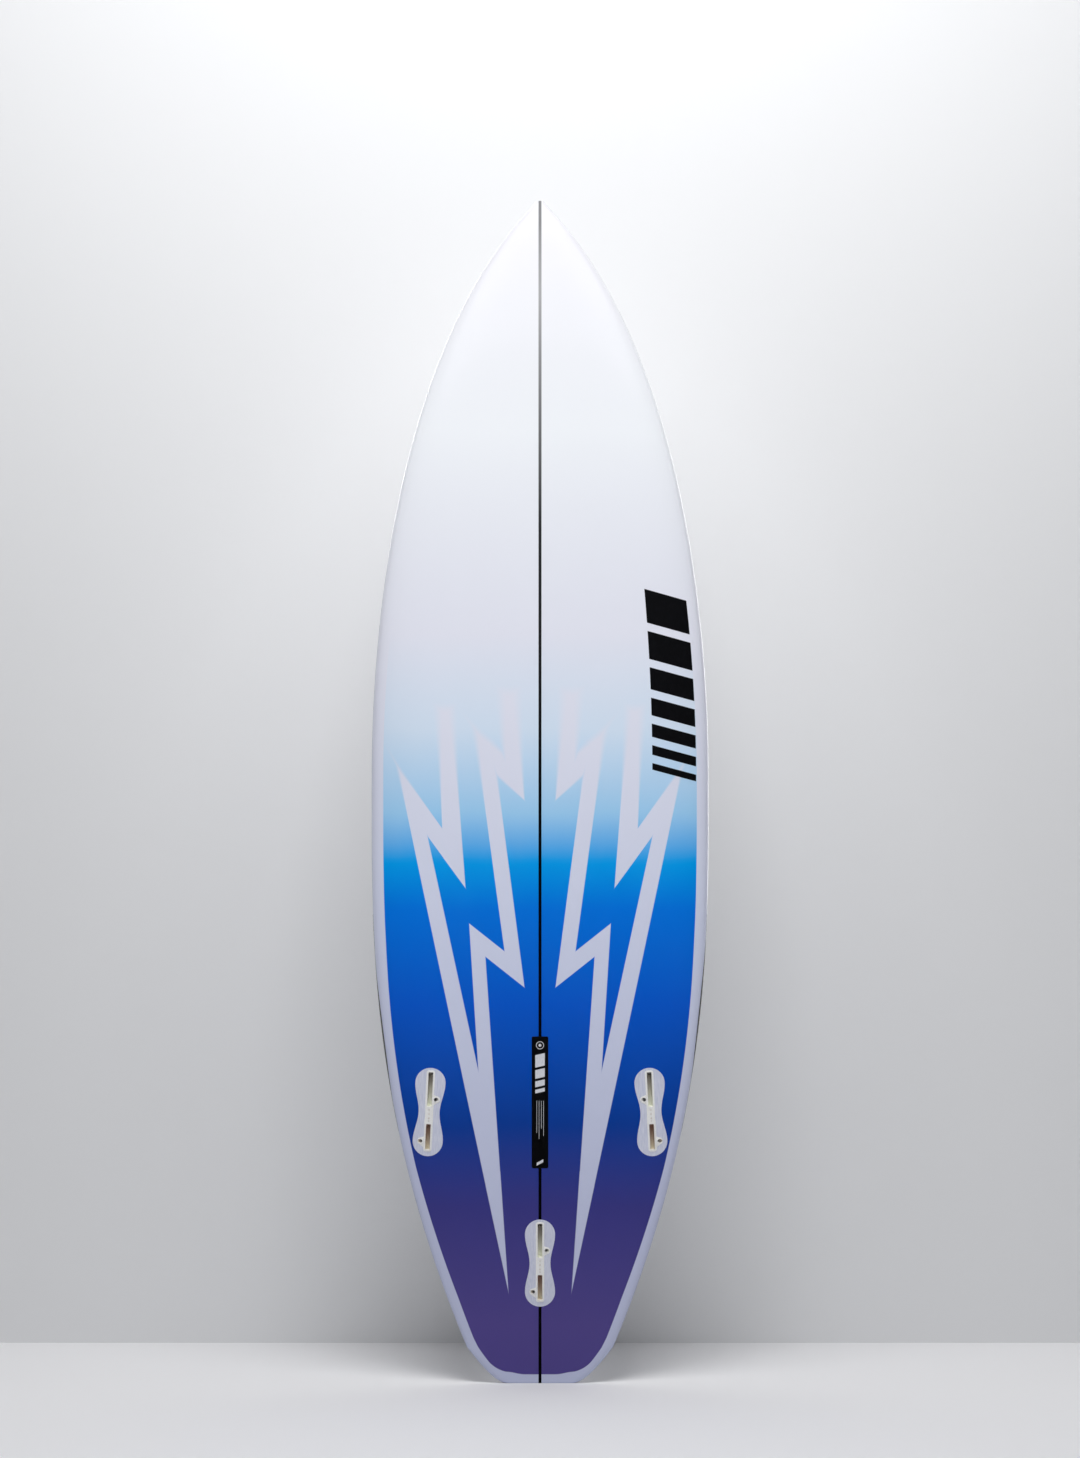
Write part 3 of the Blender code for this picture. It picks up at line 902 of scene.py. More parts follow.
@dataclass(frozen=True)
class CarbonFinish:
    """Carbon fibre cloth, a 2 by 2 twill set in clear resin: black with a silky diagonal."""

    tow: float = 2.0 * MM

    def material(self) -> Material:
        """Build the cloth."""
        material, tree, shader = new_material("carbon_twill_in_resin")
        place = stretched_place(tree, (1.0 / self.tow, 1.0, 1.0 / self.tow))
        split = add_node(tree, "ShaderNodeSeparateXYZ", {0: place})
        floors = [maths(tree, "FLOOR", split.outputs[n]) for n in (0, 2)]
        turn = maths(tree, "FLOORED_MODULO", maths(tree, "SUBTRACT", *floors), 4.0)
        over = maths(tree, "GREATER_THAN", turn, 1.5)
        bump(tree, shader, over, 0.2, 0.05 * MM)
        # Painted sheen: the tows that lie on top are coloured lighter than those beneath.
        look = {
            "Base Color": ramp(tree, over, [(0.0, "#0C0C0F"), (1.0, "#26272C")]),
            "Roughness": moved_range(tree, over, target=(0.28, 0.42)),
            "Coat Weight": 0.6,
            "Coat Roughness": 0.1,
        }
        feed(tree, shader, look)
        return material


@dataclass(frozen=True)
class PlasticFinish:
    """Glass-filled nylon, moulded: faint flow streaks along the part and a soft shine."""

    name: str
    tint: str
    shade: str
    roughness: float = 0.4
    streak: float = 0.9 * MM

    def material(self) -> Material:
        """Build the plastic."""
        material, tree, shader = new_material(self.name)
        streaks = noise(
            tree, (1.0 / self.streak, 1.0 / self.streak, 0.04 / self.streak), detail=3.0
        )
        bump(tree, shader, streaks, 0.15, 0.02 * MM)
        shine = (self.roughness - 0.06, self.roughness + 0.08)
        look = {
            "Base Color": ramp(tree, streaks, [(0.32, self.shade), (0.62, self.tint)]),
            "Roughness": moved_range(tree, streaks, target=shine),
            "IOR": 1.53,
        }
        feed(tree, shader, look)
        return material


@dataclass(frozen=True)
class SlotFinish:
    """The slot moulding: cream nylon on the face, with painted shade that greys it down inside the slots and the
    dimples, darkest at each slot's nose end.
    """

    cream: str = "#FBFBF9"
    # Inside colours: the darker ones are painted shade at each slot's nose end, the pale ones the colour at its
    # tail end.
    front_painted_shade: str = "#CFC8BC"
    front_pale: str = "#F7F9EC"
    rear_painted_shade: str = "#C79F8C"
    rear_pale: str = "#EFE9D6"
    half_length: float = 60.5 * MM

    def material(self) -> Material:
        """Build the moulding, which reads the plug's own lengths and depths."""
        material, tree, shader = new_material("moulded_cream_nylon")
        along, depth = (attribute_value(tree, name) for name in ("along_plug", "depth"))
        reach = moved_range(tree, along, (-self.half_length, self.half_length))
        # Along the plug, each slot goes from pale at its tail end to painted shade at its nose end.
        inner_stops_painted_shade = [
            (0.07, self.rear_pale),
            (0.34, self.rear_painted_shade),
            (0.46, self.rear_painted_shade),
            (0.56, self.front_pale),
            (0.90, self.front_painted_shade),
        ]
        # Painted shade: deeper than 0.4 mm the face colour gives way to the darker inside colours.
        sunk = moved_range(tree, depth, (0.4 * MM, 1.6 * MM), kind="SMOOTHSTEP")
        grain = noise(tree, scale=1100.0)
        face = ramp(tree, grain, [(0.3, "#F1F1EF"), (0.65, self.cream)])
        bump(tree, shader, grain, 0.2, 0.02 * MM)
        look = {
            "Base Color": mixed(tree, sunk, face, ramp(tree, reach, inner_stops_painted_shade)),
            "Roughness": 0.45,
            "IOR": 1.53,
        }
        feed(tree, shader, look)
        return material


@dataclass(frozen=True)
class MetalFinish:
    """Machined metal with fine turning marks."""

    name: str
    tint: str
    roughness: float
    mark: float = 0.12 * MM

    def material(self) -> Material:
        """Build the metal."""
        material, tree, shader = new_material(self.name)
        marks = noise(tree, scale=1.0 / self.mark, detail=3.0)
        shine = (self.roughness - 0.08, self.roughness + 0.08)
        tone = {"Color": colour(self.tint), "Value": moved_range(tree, marks, target=(0.88, 1.08))}
        look = {
            "Base Color": add_node(tree, "ShaderNodeHueSaturation", tone).outputs[0],
            "Roughness": moved_range(tree, marks, target=shine),
            "Metallic": 1.0,
        }
        feed(tree, shader, look)
        return material


@dataclass(frozen=True)
class InkFinish:
    """Screen-printed ink on rice paper under the resin: dense, a little uneven, and glossed."""

    name: str
    tint: str
    worn: str

    def material(self) -> Material:
        """Build the ink."""
        material, tree, shader = new_material(self.name)
        fibres = noise(tree, (600.0, 600.0, 200.0), detail=4.0)
        look = {
            "Base Color": ramp(tree, fibres, [(0.45, self.tint), (0.85, self.worn)]),
            "Roughness": 0.35,
            "Coat Weight": 0.3,
            "Coat Roughness": 0.12,
        }
        feed(tree, shader, look)
        return material


@dataclass(frozen=True)
class RubberFinish:
    """Moulded elastomer: dull, dark and slightly bloomed."""

    def material(self) -> Material:
        """Build the rubber."""
        material, tree, shader = new_material("moulded_elastomer")
        tone = ramp(tree, noise(tree, scale=700.0), [(0.3, "#1D1C1E"), (0.8, "#39373A")])
        feed(tree, shader, {"Base Color": tone, "Roughness": 0.75})
        return material


# ---------------------------------------------------------------------------------------------
# Pieces


def hand_over(
    piece: Object,
    material: Material,
    body: str,
    slot: str,
    *nodes: str,
) -> Object:
    """Dress a finished piece, put it on its body, hide the parts that it stands for, and log it."""
    piece.data.materials.clear()
    piece.data.materials.append(material)
    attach(piece, body)
    if nodes:
        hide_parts(*nodes)
    log.info("%s: %d faces, rides on %s", piece.name, len(piece.data.polygons), body)
    return piece


@dataclass(frozen=True)
class PlugSite:
    """Where one fin plug lies, and which way its slots lean."""

    name: str
    hand: int
    place: Matrix
    slots: Matrix

    @classmethod
    def read(cls, name: str, hand: int, cant: float) -> "PlugSite":
        """Find a plug's place from the record.

        Args:
            name: left, right or centre.
            hand: 1 where the front screw lies on the slot's +x side, and -1 on the other.
            cant: how far the slots lean, in radians.

        Returns:
            The site.
        """
        seat = find_mount("fin_seat_" + name)
        travel = next(j for j in frame["joints"] if j["name"] == f"roller_{name}_travel")
        out = Vector(seat["axis"]).normalized()
        along = Vector(travel["axis"]).normalized()
        along = (along - out * along.dot(out)).normalized()
        across = along.cross(out)
        place = Matrix((across, along, out)).transposed().to_4x4()
        place.translation = Vector(seat["pos_m"]) - out * SEAT_RISE + along * SEAT_SHIFT
        return cls(name, hand, place, place @ Matrix.Rotation(cant, 4, "Y"))


def find_mount(name: str) -> dict:
    """A mount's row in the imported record, at whichever level that holds the mounts."""
    record = frame["record"]
    levels = [record, *(part for part in record.values() if isinstance(part, dict))]
    rows = next(level["mounts"] for level in levels if "mounts" in level)
    return next(row for row in rows if row["name"] == name)


@dataclass
class Skins:
    """The two glassed skins, which meet at the apex of the rails."""

    form: BoardForm
    glass: float = 0.7 * MM
    columns: int = 80
    end_rounds: dict = field(default_factory=lambda: {Face.BOTTOM: 1.2 * MM, Face.DECK: 3.0 * MM})
    # Width of the unsprayed band inside the rail, by height.
    band_heights: tuple = (0.0, 0.03, 0.06, 0.12, 0.20, 0.30, 0.60)
    band_widths: tuple = (0.0100, 0.0110, 0.0135, 0.0145, 0.0137, 0.0125, 0.0163)
    end_band: float = 0.0125
    tape_corner: float = 0.018

    def rows(self, face: Face) -> np.ndarray:
        """Rows of half-width, height and how full the section is, from tail to tip."""
        outline = self.form.outline()
        z = outline[:, 1]
        apex = self.form.between(self.form.rail_apex, z) * self.form.depth(z)
        half_depth = apex if face is Face.BOTTOM else self.form.depth(z) - apex
        radius = self.end_rounds[face]
        short = np.clip(radius - z, 0.0, radius)
        fullness = 1.0 - (radius - np.sqrt(radius**2 - short**2)) / half_depth
        body = np.column_stack([outline, fullness])
        plate = np.array([[outline[0, 0], 0.0, 0.0]])
        turn = np.linspace(0.0, math.pi / 2, self.form.tip_steps + 1)[1:]
        start = self.form.length - self.form.nose_round
        tip = np.column_stack(
            [
                outline[-1, 0] * np.maximum(np.cos(turn), 0.0),
                start + self.form.nose_round * np.sin(turn),
                np.maximum(np.cos(turn), 0.0),
            ]
        )
        return np.concatenate([plate, body, tip])

    def build(self, name: str, face: Face) -> Object:
        """Lay out one skin as an open tub of glass."""
        rows = self.rows(face)

        def surface(across: np.ndarray, along: np.ndarray) -> np.ndarray:
            index = np.round(along * (len(rows) - 1)).astype(int)
            w, z, fullness = rows[index].T
            share = np.sin((across * 2.0 - 1.0) * math.pi / 2)
            rail = self.form.rail_y(z)
            y = rail + (self.form.surface_y(face, share, z) - rail) * fullness
            return np.stack([share * w, y, z], axis=1)

        skin = mapped_grid(name, self.columns, len(rows) - 1, surface)
        clean(skin)
        face_towards(skin, Vector((0.0, float(face.value), 0.0)))
        thicken(skin, self.glass, -1.0)
        return skin

    def mark_tape(self, skin: Object) -> None:
        """Write at each vertex how far it lies inside the taped edge."""
        points = points_of(skin)
        outline = self.form.outline()
        line = np.concatenate([outline, [[0.0, self.form.length]]])
        x, z = np.abs(points[:, 0]), points[:, 2]
        nearest = np.full(len(points), np.inf)
        for one, other in zip(line, line[1:]):
            along = other - one
            t = ((x - one[0]) * along[0] + (z - one[1]) * along[1]) / max(along @ along, 1e-12)
            t = np.clip(t, 0.0, 1.0)
            gap = np.hypot(x - one[0] - t * along[0], z - one[1] - t * along[1])
            nearest = np.minimum(nearest, gap)
        side = nearest - np.interp(z, self.band_heights, self.band_widths)
        end = z - self.end_band
        blend = np.clip(0.5 + (end - side) / (2 * self.tape_corner), 0.0, 1.0)
        inside = end + (side - end) * blend - self.tape_corner * blend * (1.0 - blend)
        write_values(skin, "inside_tape", inside)

    def dress(
        self, bottom: Object, deck: Object, finish: SkinFinish
    ) -> None:
        """Finish both skins."""
        self.mark_tape(bottom)
        for skin, face, slot, node in (
            (bottom, Face.BOTTOM, "bottom_glass", "bottom_laminate"),
            (deck, Face.DECK, "deck_glass", "deck_laminate"),
        ):
            soften(skin)
            hand_over(skin, finish.material(self.form, face), BOARD_BODY, slot, node)


@dataclass
class CarbonPatches:
    """Strips of carbon cloth on the deck, whose edges lap the rails and just show from below."""

    form: BoardForm
    raised: float = 0.05 * MM
    cloth: float = 0.2 * MM
    deck_share: float = 0.623
    deck_heights: tuple[float, float] = (0.360, 0.660)
    rail_heights: tuple[float, float] = (0.345, 0.640)
    # Share of the strip's width at which it turns under the rail.
    turn: float = 0.9
    lap: float = 2.2 * MM
    lap_left: tuple[float, float] = (0.385, 0.570)
    lap_right: tuple[float, float] = (0.418, 0.606)

    def build(self, side: int, material: Material) -> Object:
        """Make the strip of one side: -1 is left and 1 is right."""
        name = "left" if side < 0 else "right"
        lap_low, lap_high = self.lap_left if side < 0 else self.lap_right
        form, turn = self.form, self.turn

        def surface(across: np.ndarray, along: np.ndarray) -> np.ndarray:
            start = np.interp(across, (0, 1), (self.deck_heights[0], self.rail_heights[0]))
            end = np.interp(across, (0, 1), (self.deck_heights[1], self.rail_heights[1]))
            z = start + (end - start) * along
            w = form.half_width(z)
            on_deck = across <= turn
            angle = math.asin(self.deck_share)
            sweep = angle + (math.pi / 2 - angle) * np.clip(across / turn, 0, 1)
            t = np.clip((z - lap_low) / (lap_high - lap_low), 0, 1)
            lap = self.lap * np.sin(np.pi * t) * np.clip((across - turn) / (1 - turn), 0, 1)
            share = np.where(on_deck, np.sin(sweep), 1.0 - lap / w)
            y = np.where(
                on_deck,
                form.surface_y(Face.DECK, share, z),
                form.surface_y(Face.BOTTOM, share, z),
            )
            rail = form.rail_y(z)
            out = np.clip((share - 0.9) / 0.1, 0, 1)
            lift = np.sign(y - rail) * self.raised * (1 - out)
            return np.stack([side * (share * w + self.raised * out), y + lift, z], axis=1)

        patch = mapped_grid("carbon_strip_" + name, 40, 90, surface)
        clean(patch)
        face_towards(patch, Vector((side, 0.5, 0.0)))
        thicken(patch, self.cloth, 1.0)
        soften(patch, 50.0)
        return hand_over(patch, material, BOARD_BODY, "carbon", "carbon_patch_" + name)


@dataclass
class PrintedMarks:
    """Plain marks laid under the glass of the bottom: bars by the rail, a label by the stringer."""

    form: BoardForm
    raised: float = 0.06 * MM
    paper: float = 0.05 * MM
    rail_heights: tuple[float, float] = (0.8235, 1.085)
    rail_shares: tuple[float, float] = (0.665, 0.925)
    slant: float = 16.0 * MM
    bars: tuple = (46.0, 38.0, 30.0, 24.0, 18.0, 13.0, 9.0)
    label_heights: tuple[float, float] = (0.2975, 0.4775)
    label_width: float = 22.5 * MM
    label_corner: float = 2.0 * MM

    def sheet(
        self,
        name: str,
        raised: float,
        cells: tuple[int, int],
        flat: Flat,
    ) -> Object:
        """A thin printed sheet on the bottom.

        Args:
            name: the sheet's name.
            raised: how far it stands off the skin.
            cells: faces across and along.
            flat: gives x and z for shares across and along.

        Returns:
            The closed sheet.
        """

        def surface(across: np.ndarray, along: np.ndarray) -> np.ndarray:
            x, z = flat(across, along)
            return self.form.on_bottom(x, z, raised)

        sheet = mapped_grid(name, *cells, surface)
        face_towards(sheet, Vector((0.0, -1.0, 0.0)))
        thicken(sheet, self.paper, 1.0)
        soften(sheet)
        return sheet

    def rail_bars(self, material: Material) -> Object:
        """Seven slanted bars that get shorter towards the tail."""
        low, high = self.rail_heights
        gap = (high - low - self.slant - sum(self.bars) * MM) / (len(self.bars) - 1)
        near, far = self.rail_shares
        pieces, top = [], high - self.slant / 2
        for length in self.bars:

            def flat(
                across: np.ndarray, along: np.ndarray, top: float = top, length: float = length
            ) -> tuple[np.ndarray, np.ndarray]:
                z = top - length * MM * along - self.slant * (across - 0.5)
                return (near + (far - near) * across) * self.form.half_width(z), z

            pieces.append(self.sheet("bar", self.raised, (16, 4), flat))
            top -= length * MM + gap
        marks = join("rail_bars", pieces)
        return hand_over(marks, material, BOARD_BODY, "print", "rail_decal")

    def rounded(self, across: np.ndarray, along: np.ndarray, size: tuple[float, float]):
        """X and z from the middle of a rectangle with round corners."""
        half = np.array(size) / 2
        x, z = (across * 2 - 1) * half[0], (along * 2 - 1) * half[1]
        beyond = np.clip((np.abs(z) - (half[1] - self.label_corner)) / self.label_corner, 0, 1)
        return x * (1 - self.label_corner / half[0] * (1 - np.sqrt(1 - beyond**2))), z

    def label(self, ink: Material, pale: Material) -> None:
        """The black panel over the stringer, with its ring, bars and rules in white."""
        low, high = self.label_heights
        middle = (low + high) / 2

        def panel(across: np.ndarray, along: np.ndarray) -> tuple[np.ndarray, np.ndarray]:
            eased = np.sin((along - 0.5) * math.pi) / 2 + 0.5
            x, z = self.rounded(across, eased, (self.label_width, high - low))
            return x, z + middle

        sheet = self.sheet("stringer_panel", self.raised, (6, 40), panel)
        hand_over(sheet, ink, BOARD_BODY, "print", "stringer_label")

        above = self.raised + self.paper
        marks = []

        def ring(centre: float, inner: float, outer: float) -> Flat:
            def flat(across: np.ndarray, along: np.ndarray) -> tuple[np.ndarray, np.ndarray]:
                radius = inner + (outer - inner) * across
                turn = along * 2 * math.pi
                return radius * np.cos(turn), centre + radius * np.sin(turn)

            return flat

        def bar(x: tuple[float, float], z: tuple[float, float], lean: float = 0.0) -> Flat:
            def flat(across: np.ndarray, along: np.ndarray) -> tuple[np.ndarray, np.ndarray]:
                return (
                    x[0] + (x[1] - x[0]) * across,
                    z[0] + (z[1] - z[0]) * along + lean * (across - 0.5),
                )

            return flat

        marks.append(("ring", (2, 36), ring(high - 12.0 * MM, 4.6 * MM, 5.4 * MM)))
        marks.append(("dot", (2, 20), ring(high - 12.0 * MM, 0.2 * MM, 2.0 * MM)))
        top = high - 24.0 * MM
        for length in (17.0, 12.0, 8.0, 5.0):
            slanted = bar((-6.5 * MM, 6.5 * MM), (top - length * MM, top), 3.0 * MM)
            marks.append(("bar", (3, 2), slanted))
            top -= length * MM + 3.4 * MM
        for number, length in enumerate((44.0, 52.0, 38.0, 48.0)):
            x = (number - 1.5) * 3.1 * MM
            start = top - 8.0 * MM
            marks.append(("rule", (1, 6), bar((x, x + 0.5 * MM), (start - length * MM, start))))
        foot = low + 10.0 * MM
        marks.append(("foot", (4, 4), bar((-4.5 * MM, 4.5 * MM), (foot - 4.0 * MM, foot), 5 * MM)))
        sheets = [self.sheet(name, above, cells, flat) for name, cells, flat in marks]
        print_marks = join("stringer_panel_marks", sheets)
        clean(print_marks)
        hand_over(print_marks, pale, BOARD_BODY, "print")


@dataclass
class PlugFinishes:
    """The materials of a fin plug."""

    flange: Material
    moulding: Material
    titanium: Material
    stainless: Material
    rubber: Material


@dataclass
class FinPlug:
    """A two-slot fin plug: flange, slot moulding, roller, spring and grub screws."""

    form: BoardForm
    site: PlugSite
    length: float = 0.121
    lobe: float = 0.0205
    waist: float = 0.01425
    depth: float = 0.015
    slot_width: float = 0.0064
    slot_depth: float = 0.012
    front: tuple[float, float] = (0.0075, 0.0544)
    rear: tuple[float, float] = (-0.0514, -0.0165)
    slot_corner: float = 0.001
    rim: float = 0.0115
    rim_corner: float = 0.0037
    margin: float = 0.0027
    rise: float = 0.0005
    boss: float = 0.0047
    boss_rise: float = 0.00035
    flange_rise: float = 0.00006
    flange_thickness: float = 0.003
    # Depth at which a piece starts to follow the bottom's curve, and over how much it gets there.
    settle_depth: float = 3.0 * MM
    settle_run: float = 2.5 * MM
    # Depth of the webs and bosses, and how far a web lies below its boss's top.
    web_depth: float = 0.003
    web_step: float = 0.00008
    boss_depth: float = 0.0105
    screws: tuple = (("front", (0.0093, 0.0175)), ("rear", (-0.0097, -0.0400)))
    screw_radius: float = 0.0025
    screw_length: float = 0.0065
    screw_recess: float = 0.0011
    screw_lean: float = math.radians(40.0)
    pitch: float = 0.8 * MM
    thread: float = 0.32 * MM
    hex_key: float = 0.0025
    hex_depth: float = 0.0028
    bore_gap: float = 0.0003
    thread_gap: float = 0.00012
    dimples: tuple = ((3.0, 1.25), (-2.6, 1.2), (-8.4, 1.15), (-12.2, 0.9))
    dimple_depth: float = 1.3 * MM
    roller_radius: float = 0.0022
    roller_length: float = 0.008
    roller_depth: float = 0.005
    spring_size: tuple[float, float, float] = (0.007, 0.0027, 0.005)
    spring_keep: float = 0.44
    above: float = 0.004

    @property
    def roller_y(self) -> float:
        """The roller's place along the plug."""
        return self.front[1] - self.roller_radius - 2 * self.bore_gap

    def half_at(self, y: np.ndarray, grow: float = 0.0) -> np.ndarray:
        """Half the flange's width at a place along the plug."""
        centre = self.length / 2 - self.lobe
        swell = (1 - np.cos(np.pi * np.minimum(np.abs(y) / centre, 1.0))) / 2
        waist = self.waist + swell * (self.lobe - self.waist) + grow
        radius = self.lobe + grow
        beyond = np.clip(np.abs(y) - centre, 0.0, radius)
        return np.where(np.abs(y) < centre, waist, np.sqrt(radius**2 - beyond**2))

    def peanut(self, name: str, grow: float, height: float) -> Object:
        """The flange's outline as an open sheet at a height, in the plug's own frame."""

        def surface(across: np.ndarray, along: np.ndarray) -> np.ndarray:
            y = (self.length / 2 + grow) * np.sin((along * 2 - 1) * math.pi / 2)
            x = (across * 2 - 1) * self.half_at(y, grow)
            return np.stack([x, y, np.full_like(x, height)], axis=1)

        sheet = mapped_grid(name, 24, 96, surface)
        clean(sheet)
        face_towards(sheet, Vector((0.0, 0.0, 1.0)))
        return sheet

    def pocket(self) -> Object:
        """The cutter that opens the skin under the flange's edge."""
        cutter = self.peanut("pocket", -1.2 * MM, self.above)
        thicken(cutter, 2 * self.above, -1.0)
        return place_mesh(cutter, self.site.place)

    def settle(self, piece: Object) -> None:
        """Bend a piece's face to the curve of the bottom, as sanding it flush does."""
        place = np.array(self.site.place)
        points = points_of(piece)
        height = (points - place[:3, 3]) @ place[:3, 2]
        base = points - height[:, None] * place[:3, 2]
        surface = self.form.on_bottom(base[:, 0], base[:, 2], 0.0)
        share = np.clip((height + self.settle_depth) / self.settle_run, 0.0, 1.0)
        points[:, 1] += (surface[:, 1] - base[:, 1]) * share
        move_points(piece, points)

    def write_lengths(self, piece: Object) -> None:
        """Write how far along the plug and how deep each vertex lies."""
        place = np.array(self.site.place)
        offset = points_of(piece) - place[:3, 3]
        write_values(piece, "along_plug", offset @ place[:3, 1])
        write_values(piece, "depth", -(offset @ place[:3, 2]))

    def screw_matrix(self, spot: tuple[float, float]) -> Matrix:
        """Where a grub screw lies in the board."""
        across = spot[0] * self.site.hand
        lean = math.copysign(self.screw_lean, across)
        return (
            self.site.slots
            @ Matrix.Translation((across, spot[1], 0.0))
            @ Matrix.Rotation(lean, 4, "Y")
        )

    def flange(self, material: Material) -> None:
        """The peanut-shaped flange, sanded flush with the skin."""
        flange = self.peanut("flange", 0.0, self.flange_rise)
        thicken(flange, self.flange_thickness, -1.0)
        bevel(flange, 0.35 * MM, 3, 60.0)
        ends = (self.rear[0] - self.margin + 0.5 * MM, self.front[1] + self.margin - 0.5 * MM)
        inside = self.rim_corner - 0.5 * MM
        cutters = [slot_block("cut", self.rim - 1.0 * MM, ends, (-0.01, self.above), inside)]
        for _, (x, y) in self.screws:
            spot = (x * self.site.hand, y)
            cutters.append(drum("cut", self.boss - 0.6 * MM, -0.01, self.above, spot))
        combine(flange, cutters, "DIFFERENCE")
        flange.name = "plug_flange_" + self.site.name
        place_mesh(flange, self.site.place)
        self.settle(flange)
        soften(flange)
        hand_over(flange, material, BOARD_BODY, "plug_plastic")

    def web(self, spot: tuple[float, float]) -> Object:
        """The web that joins a screw's boss to the slots' rim."""
        x, y = spot[0] * self.site.hand, spot[1]
        side = math.copysign(1.0, x)
        top = self.boss_rise - self.web_step
        web = block("web", (-1.0, -1.0, -self.web_depth), (1.0, 1.0, top))
        inner, outer = side * (self.rim / 2 - 0.7 * MM), x + side * 2.2 * MM
        corners = {
            (-1, 1): (inner, y + 6.5 * MM),
            (1, 1): (outer, y + 3.8 * MM),
            (1, -1): (outer, y - 3.8 * MM),
            (-1, -1): (inner, y - (9.0 if y < 0 else 8.0) * MM),
        }
        points = points_of(web)
        for point in points:
            key = (round(point[0]), round(point[1]))
            point[:2] = corners[key]
        move_points(web, points)
        clean(web)
        return web

    def moulding(self, material: Material) -> None:
        """The slot moulding: a raised rim round two slots, with a boss for each screw."""
        ends = (self.rear[0] - self.margin, self.front[1] + self.margin)
        body = slot_block("body", self.rim, ends, (-self.depth, self.rise), self.rim_corner)
        joined = []
        for _, (x, y) in self.screws:
            spot = (x * self.site.hand, y)
            joined.append(drum("boss", self.boss, -self.boss_depth, self.boss_rise, spot))
            joined.append(self.web((x, y)))
        combine(body, joined, "UNION")
        edit(body, lambda: bpy.ops.mesh.dissolve_limited(angle_limit=math.radians(1.0)))
        bevel(body, 0.25 * MM, 2, 50.0)
        place_mesh(body, self.site.place)
        cutters = []
        heights = (-self.slot_depth, self.above)
        for slot in (self.front, self.rear):
            cut = slot_block("cut", self.slot_width, slot, heights, self.slot_corner)
            cutters.append(place_mesh(cut, self.site.slots))
        half = self.roller_length / 2 + self.bore_gap
        wide, travel_room = 2.8 * MM, 3.3 * MM
        start = self.roller_y - self.roller_radius - self.bore_gap
        end = self.roller_y + self.roller_radius + travel_room
        room = block(
            "cut",
            (-half, start, -self.roller_depth - wide),
            (half, end, -self.roller_depth + wide),
        )
        cutters.append(place_mesh(room, self.site.slots))
        for _, spot in self.screws:
            bore = drum(
                "cut", self.screw_radius + self.thread_gap, -0.011, self.above, (0.0, 0.0), 32
            )
            cutters.append(place_mesh(bore, self.screw_matrix(spot)))
        for y, radius in self.dimples:
            low = self.rise - self.dimple_depth
            dimple = drum("cut", radius * MM, low, self.above, (0.0, y * MM), 24)
            cutters.append(place_mesh(dimple, self.site.place))
        combine(body, cutters, "DIFFERENCE")
        body.name = "plug_slots_" + self.site.name
        self.write_lengths(body)
        self.settle(body)
        soften(body)
        hand_over(body, material, BOARD_BODY, "plug_plastic", "fin_plug_" + self.site.name)

    def grub_screw(self, label: str, spot: tuple[float, float], material: Material) -> None:
        """A threaded set screw with a hexagonal socket and a narrowed tip."""
        top = -self.screw_recess
        foot = top - self.screw_length
        root = self.screw_radius - self.thread
        profile = [(1.0 * MM, foot), (1.2 * MM, foot + 0.1 * MM), (root, foot + 1.2 * MM)]
        height = foot + 1.3 * MM
        while height + self.pitch < top - 0.3 * MM:
            profile += [
                (root, height),
                (self.screw_radius, height + 0.38 * self.pitch),
                (self.screw_radius, height + 0.5 * self.pitch),
                (root, height + 0.88 * self.pitch),
            ]
            height += self.pitch
        profile += [(self.screw_radius, top - 0.35 * MM), (self.screw_radius, top - 0.12 * MM)]
        profile += [(self.screw_radius - 0.12 * MM, top)]
        screw = turned(f"grub_screw_{label}_{self.site.name}", profile, 36)
        socket = drum(
            "cut", self.hex_key / math.sqrt(3), top - self.hex_depth, self.above, (0.0, 0.0), 6
        )
        combine(screw, [socket], "DIFFERENCE")
        place_mesh(screw, self.screw_matrix(spot))
        soften(screw, 30.0)
        node = f"{label}_screw_{self.site.name}"
        hand_over(screw, material, node, "stainless", node)

    def roller(self, material: Material) -> None:
        """The retention roller, with chamfered ends and a shallow waist."""
        half, radius = self.roller_length / 2, self.roller_radius
        chamfer = 0.4 * MM
        profile = [
            (radius - chamfer, -half),
            (radius, -half + chamfer),
            (radius, -0.9 * MM),
            (radius - 0.25 * MM, -0.6 * MM),
            (radius - 0.25 * MM, 0.6 * MM),
            (radius, 0.9 * MM),
            (radius, half - chamfer),
            (radius - chamfer, half),
        ]
        roller = turned("retention_roller_" + self.site.name, profile, 36)
        centre = Matrix.Translation((0.0, self.roller_y, -self.roller_depth))
        place_mesh(roller, self.site.slots @ centre @ Matrix.Rotation(math.pi / 2, 4, "Y"))
        soften(roller, 30.0)
        hand_over(
            roller, material, "roller_" + self.site.name, "titanium", "fin_roller_" + self.site.name
        )

    def spring(self, material: Material) -> None:
        """The elastomer block that the roller is pushed back against."""
        wide, thick, tall = self.spring_size
        start = self.front[1] - self.bore_gap
        spring = block(
            "roller_cushion_" + self.site.name,
            (-wide / 2, start, -self.roller_depth - tall / 2),
            (wide / 2, start + thick, -self.roller_depth + tall / 2),
        )
        grooves = [
            drum("cut", 0.45 * MM, -0.02, 0.01, (x * MM, start + 0.05 * MM), 16)
            for x in (-2.2, 0.0, 2.2)
        ]
        combine(spring, grooves, "DIFFERENCE")
        bevel(spring, 0.25 * MM, 2, 60.0)
        place_mesh(spring, self.site.slots)
        soften(spring)
        hand_over(
            spring, material, BOARD_BODY, "elastomer", "roller_spring_" + self.site.name
        )
        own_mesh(spring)

    def build(self, finishes: PlugFinishes) -> None:
        """Make every piece of the plug."""
        self.flange(finishes.flange)
        self.moulding(finishes.moulding)
        for label, spot in self.screws:
            self.grub_screw(label, spot, finishes.stainless)
        self.roller(finishes.titanium)
        self.spring(finishes.rubber)


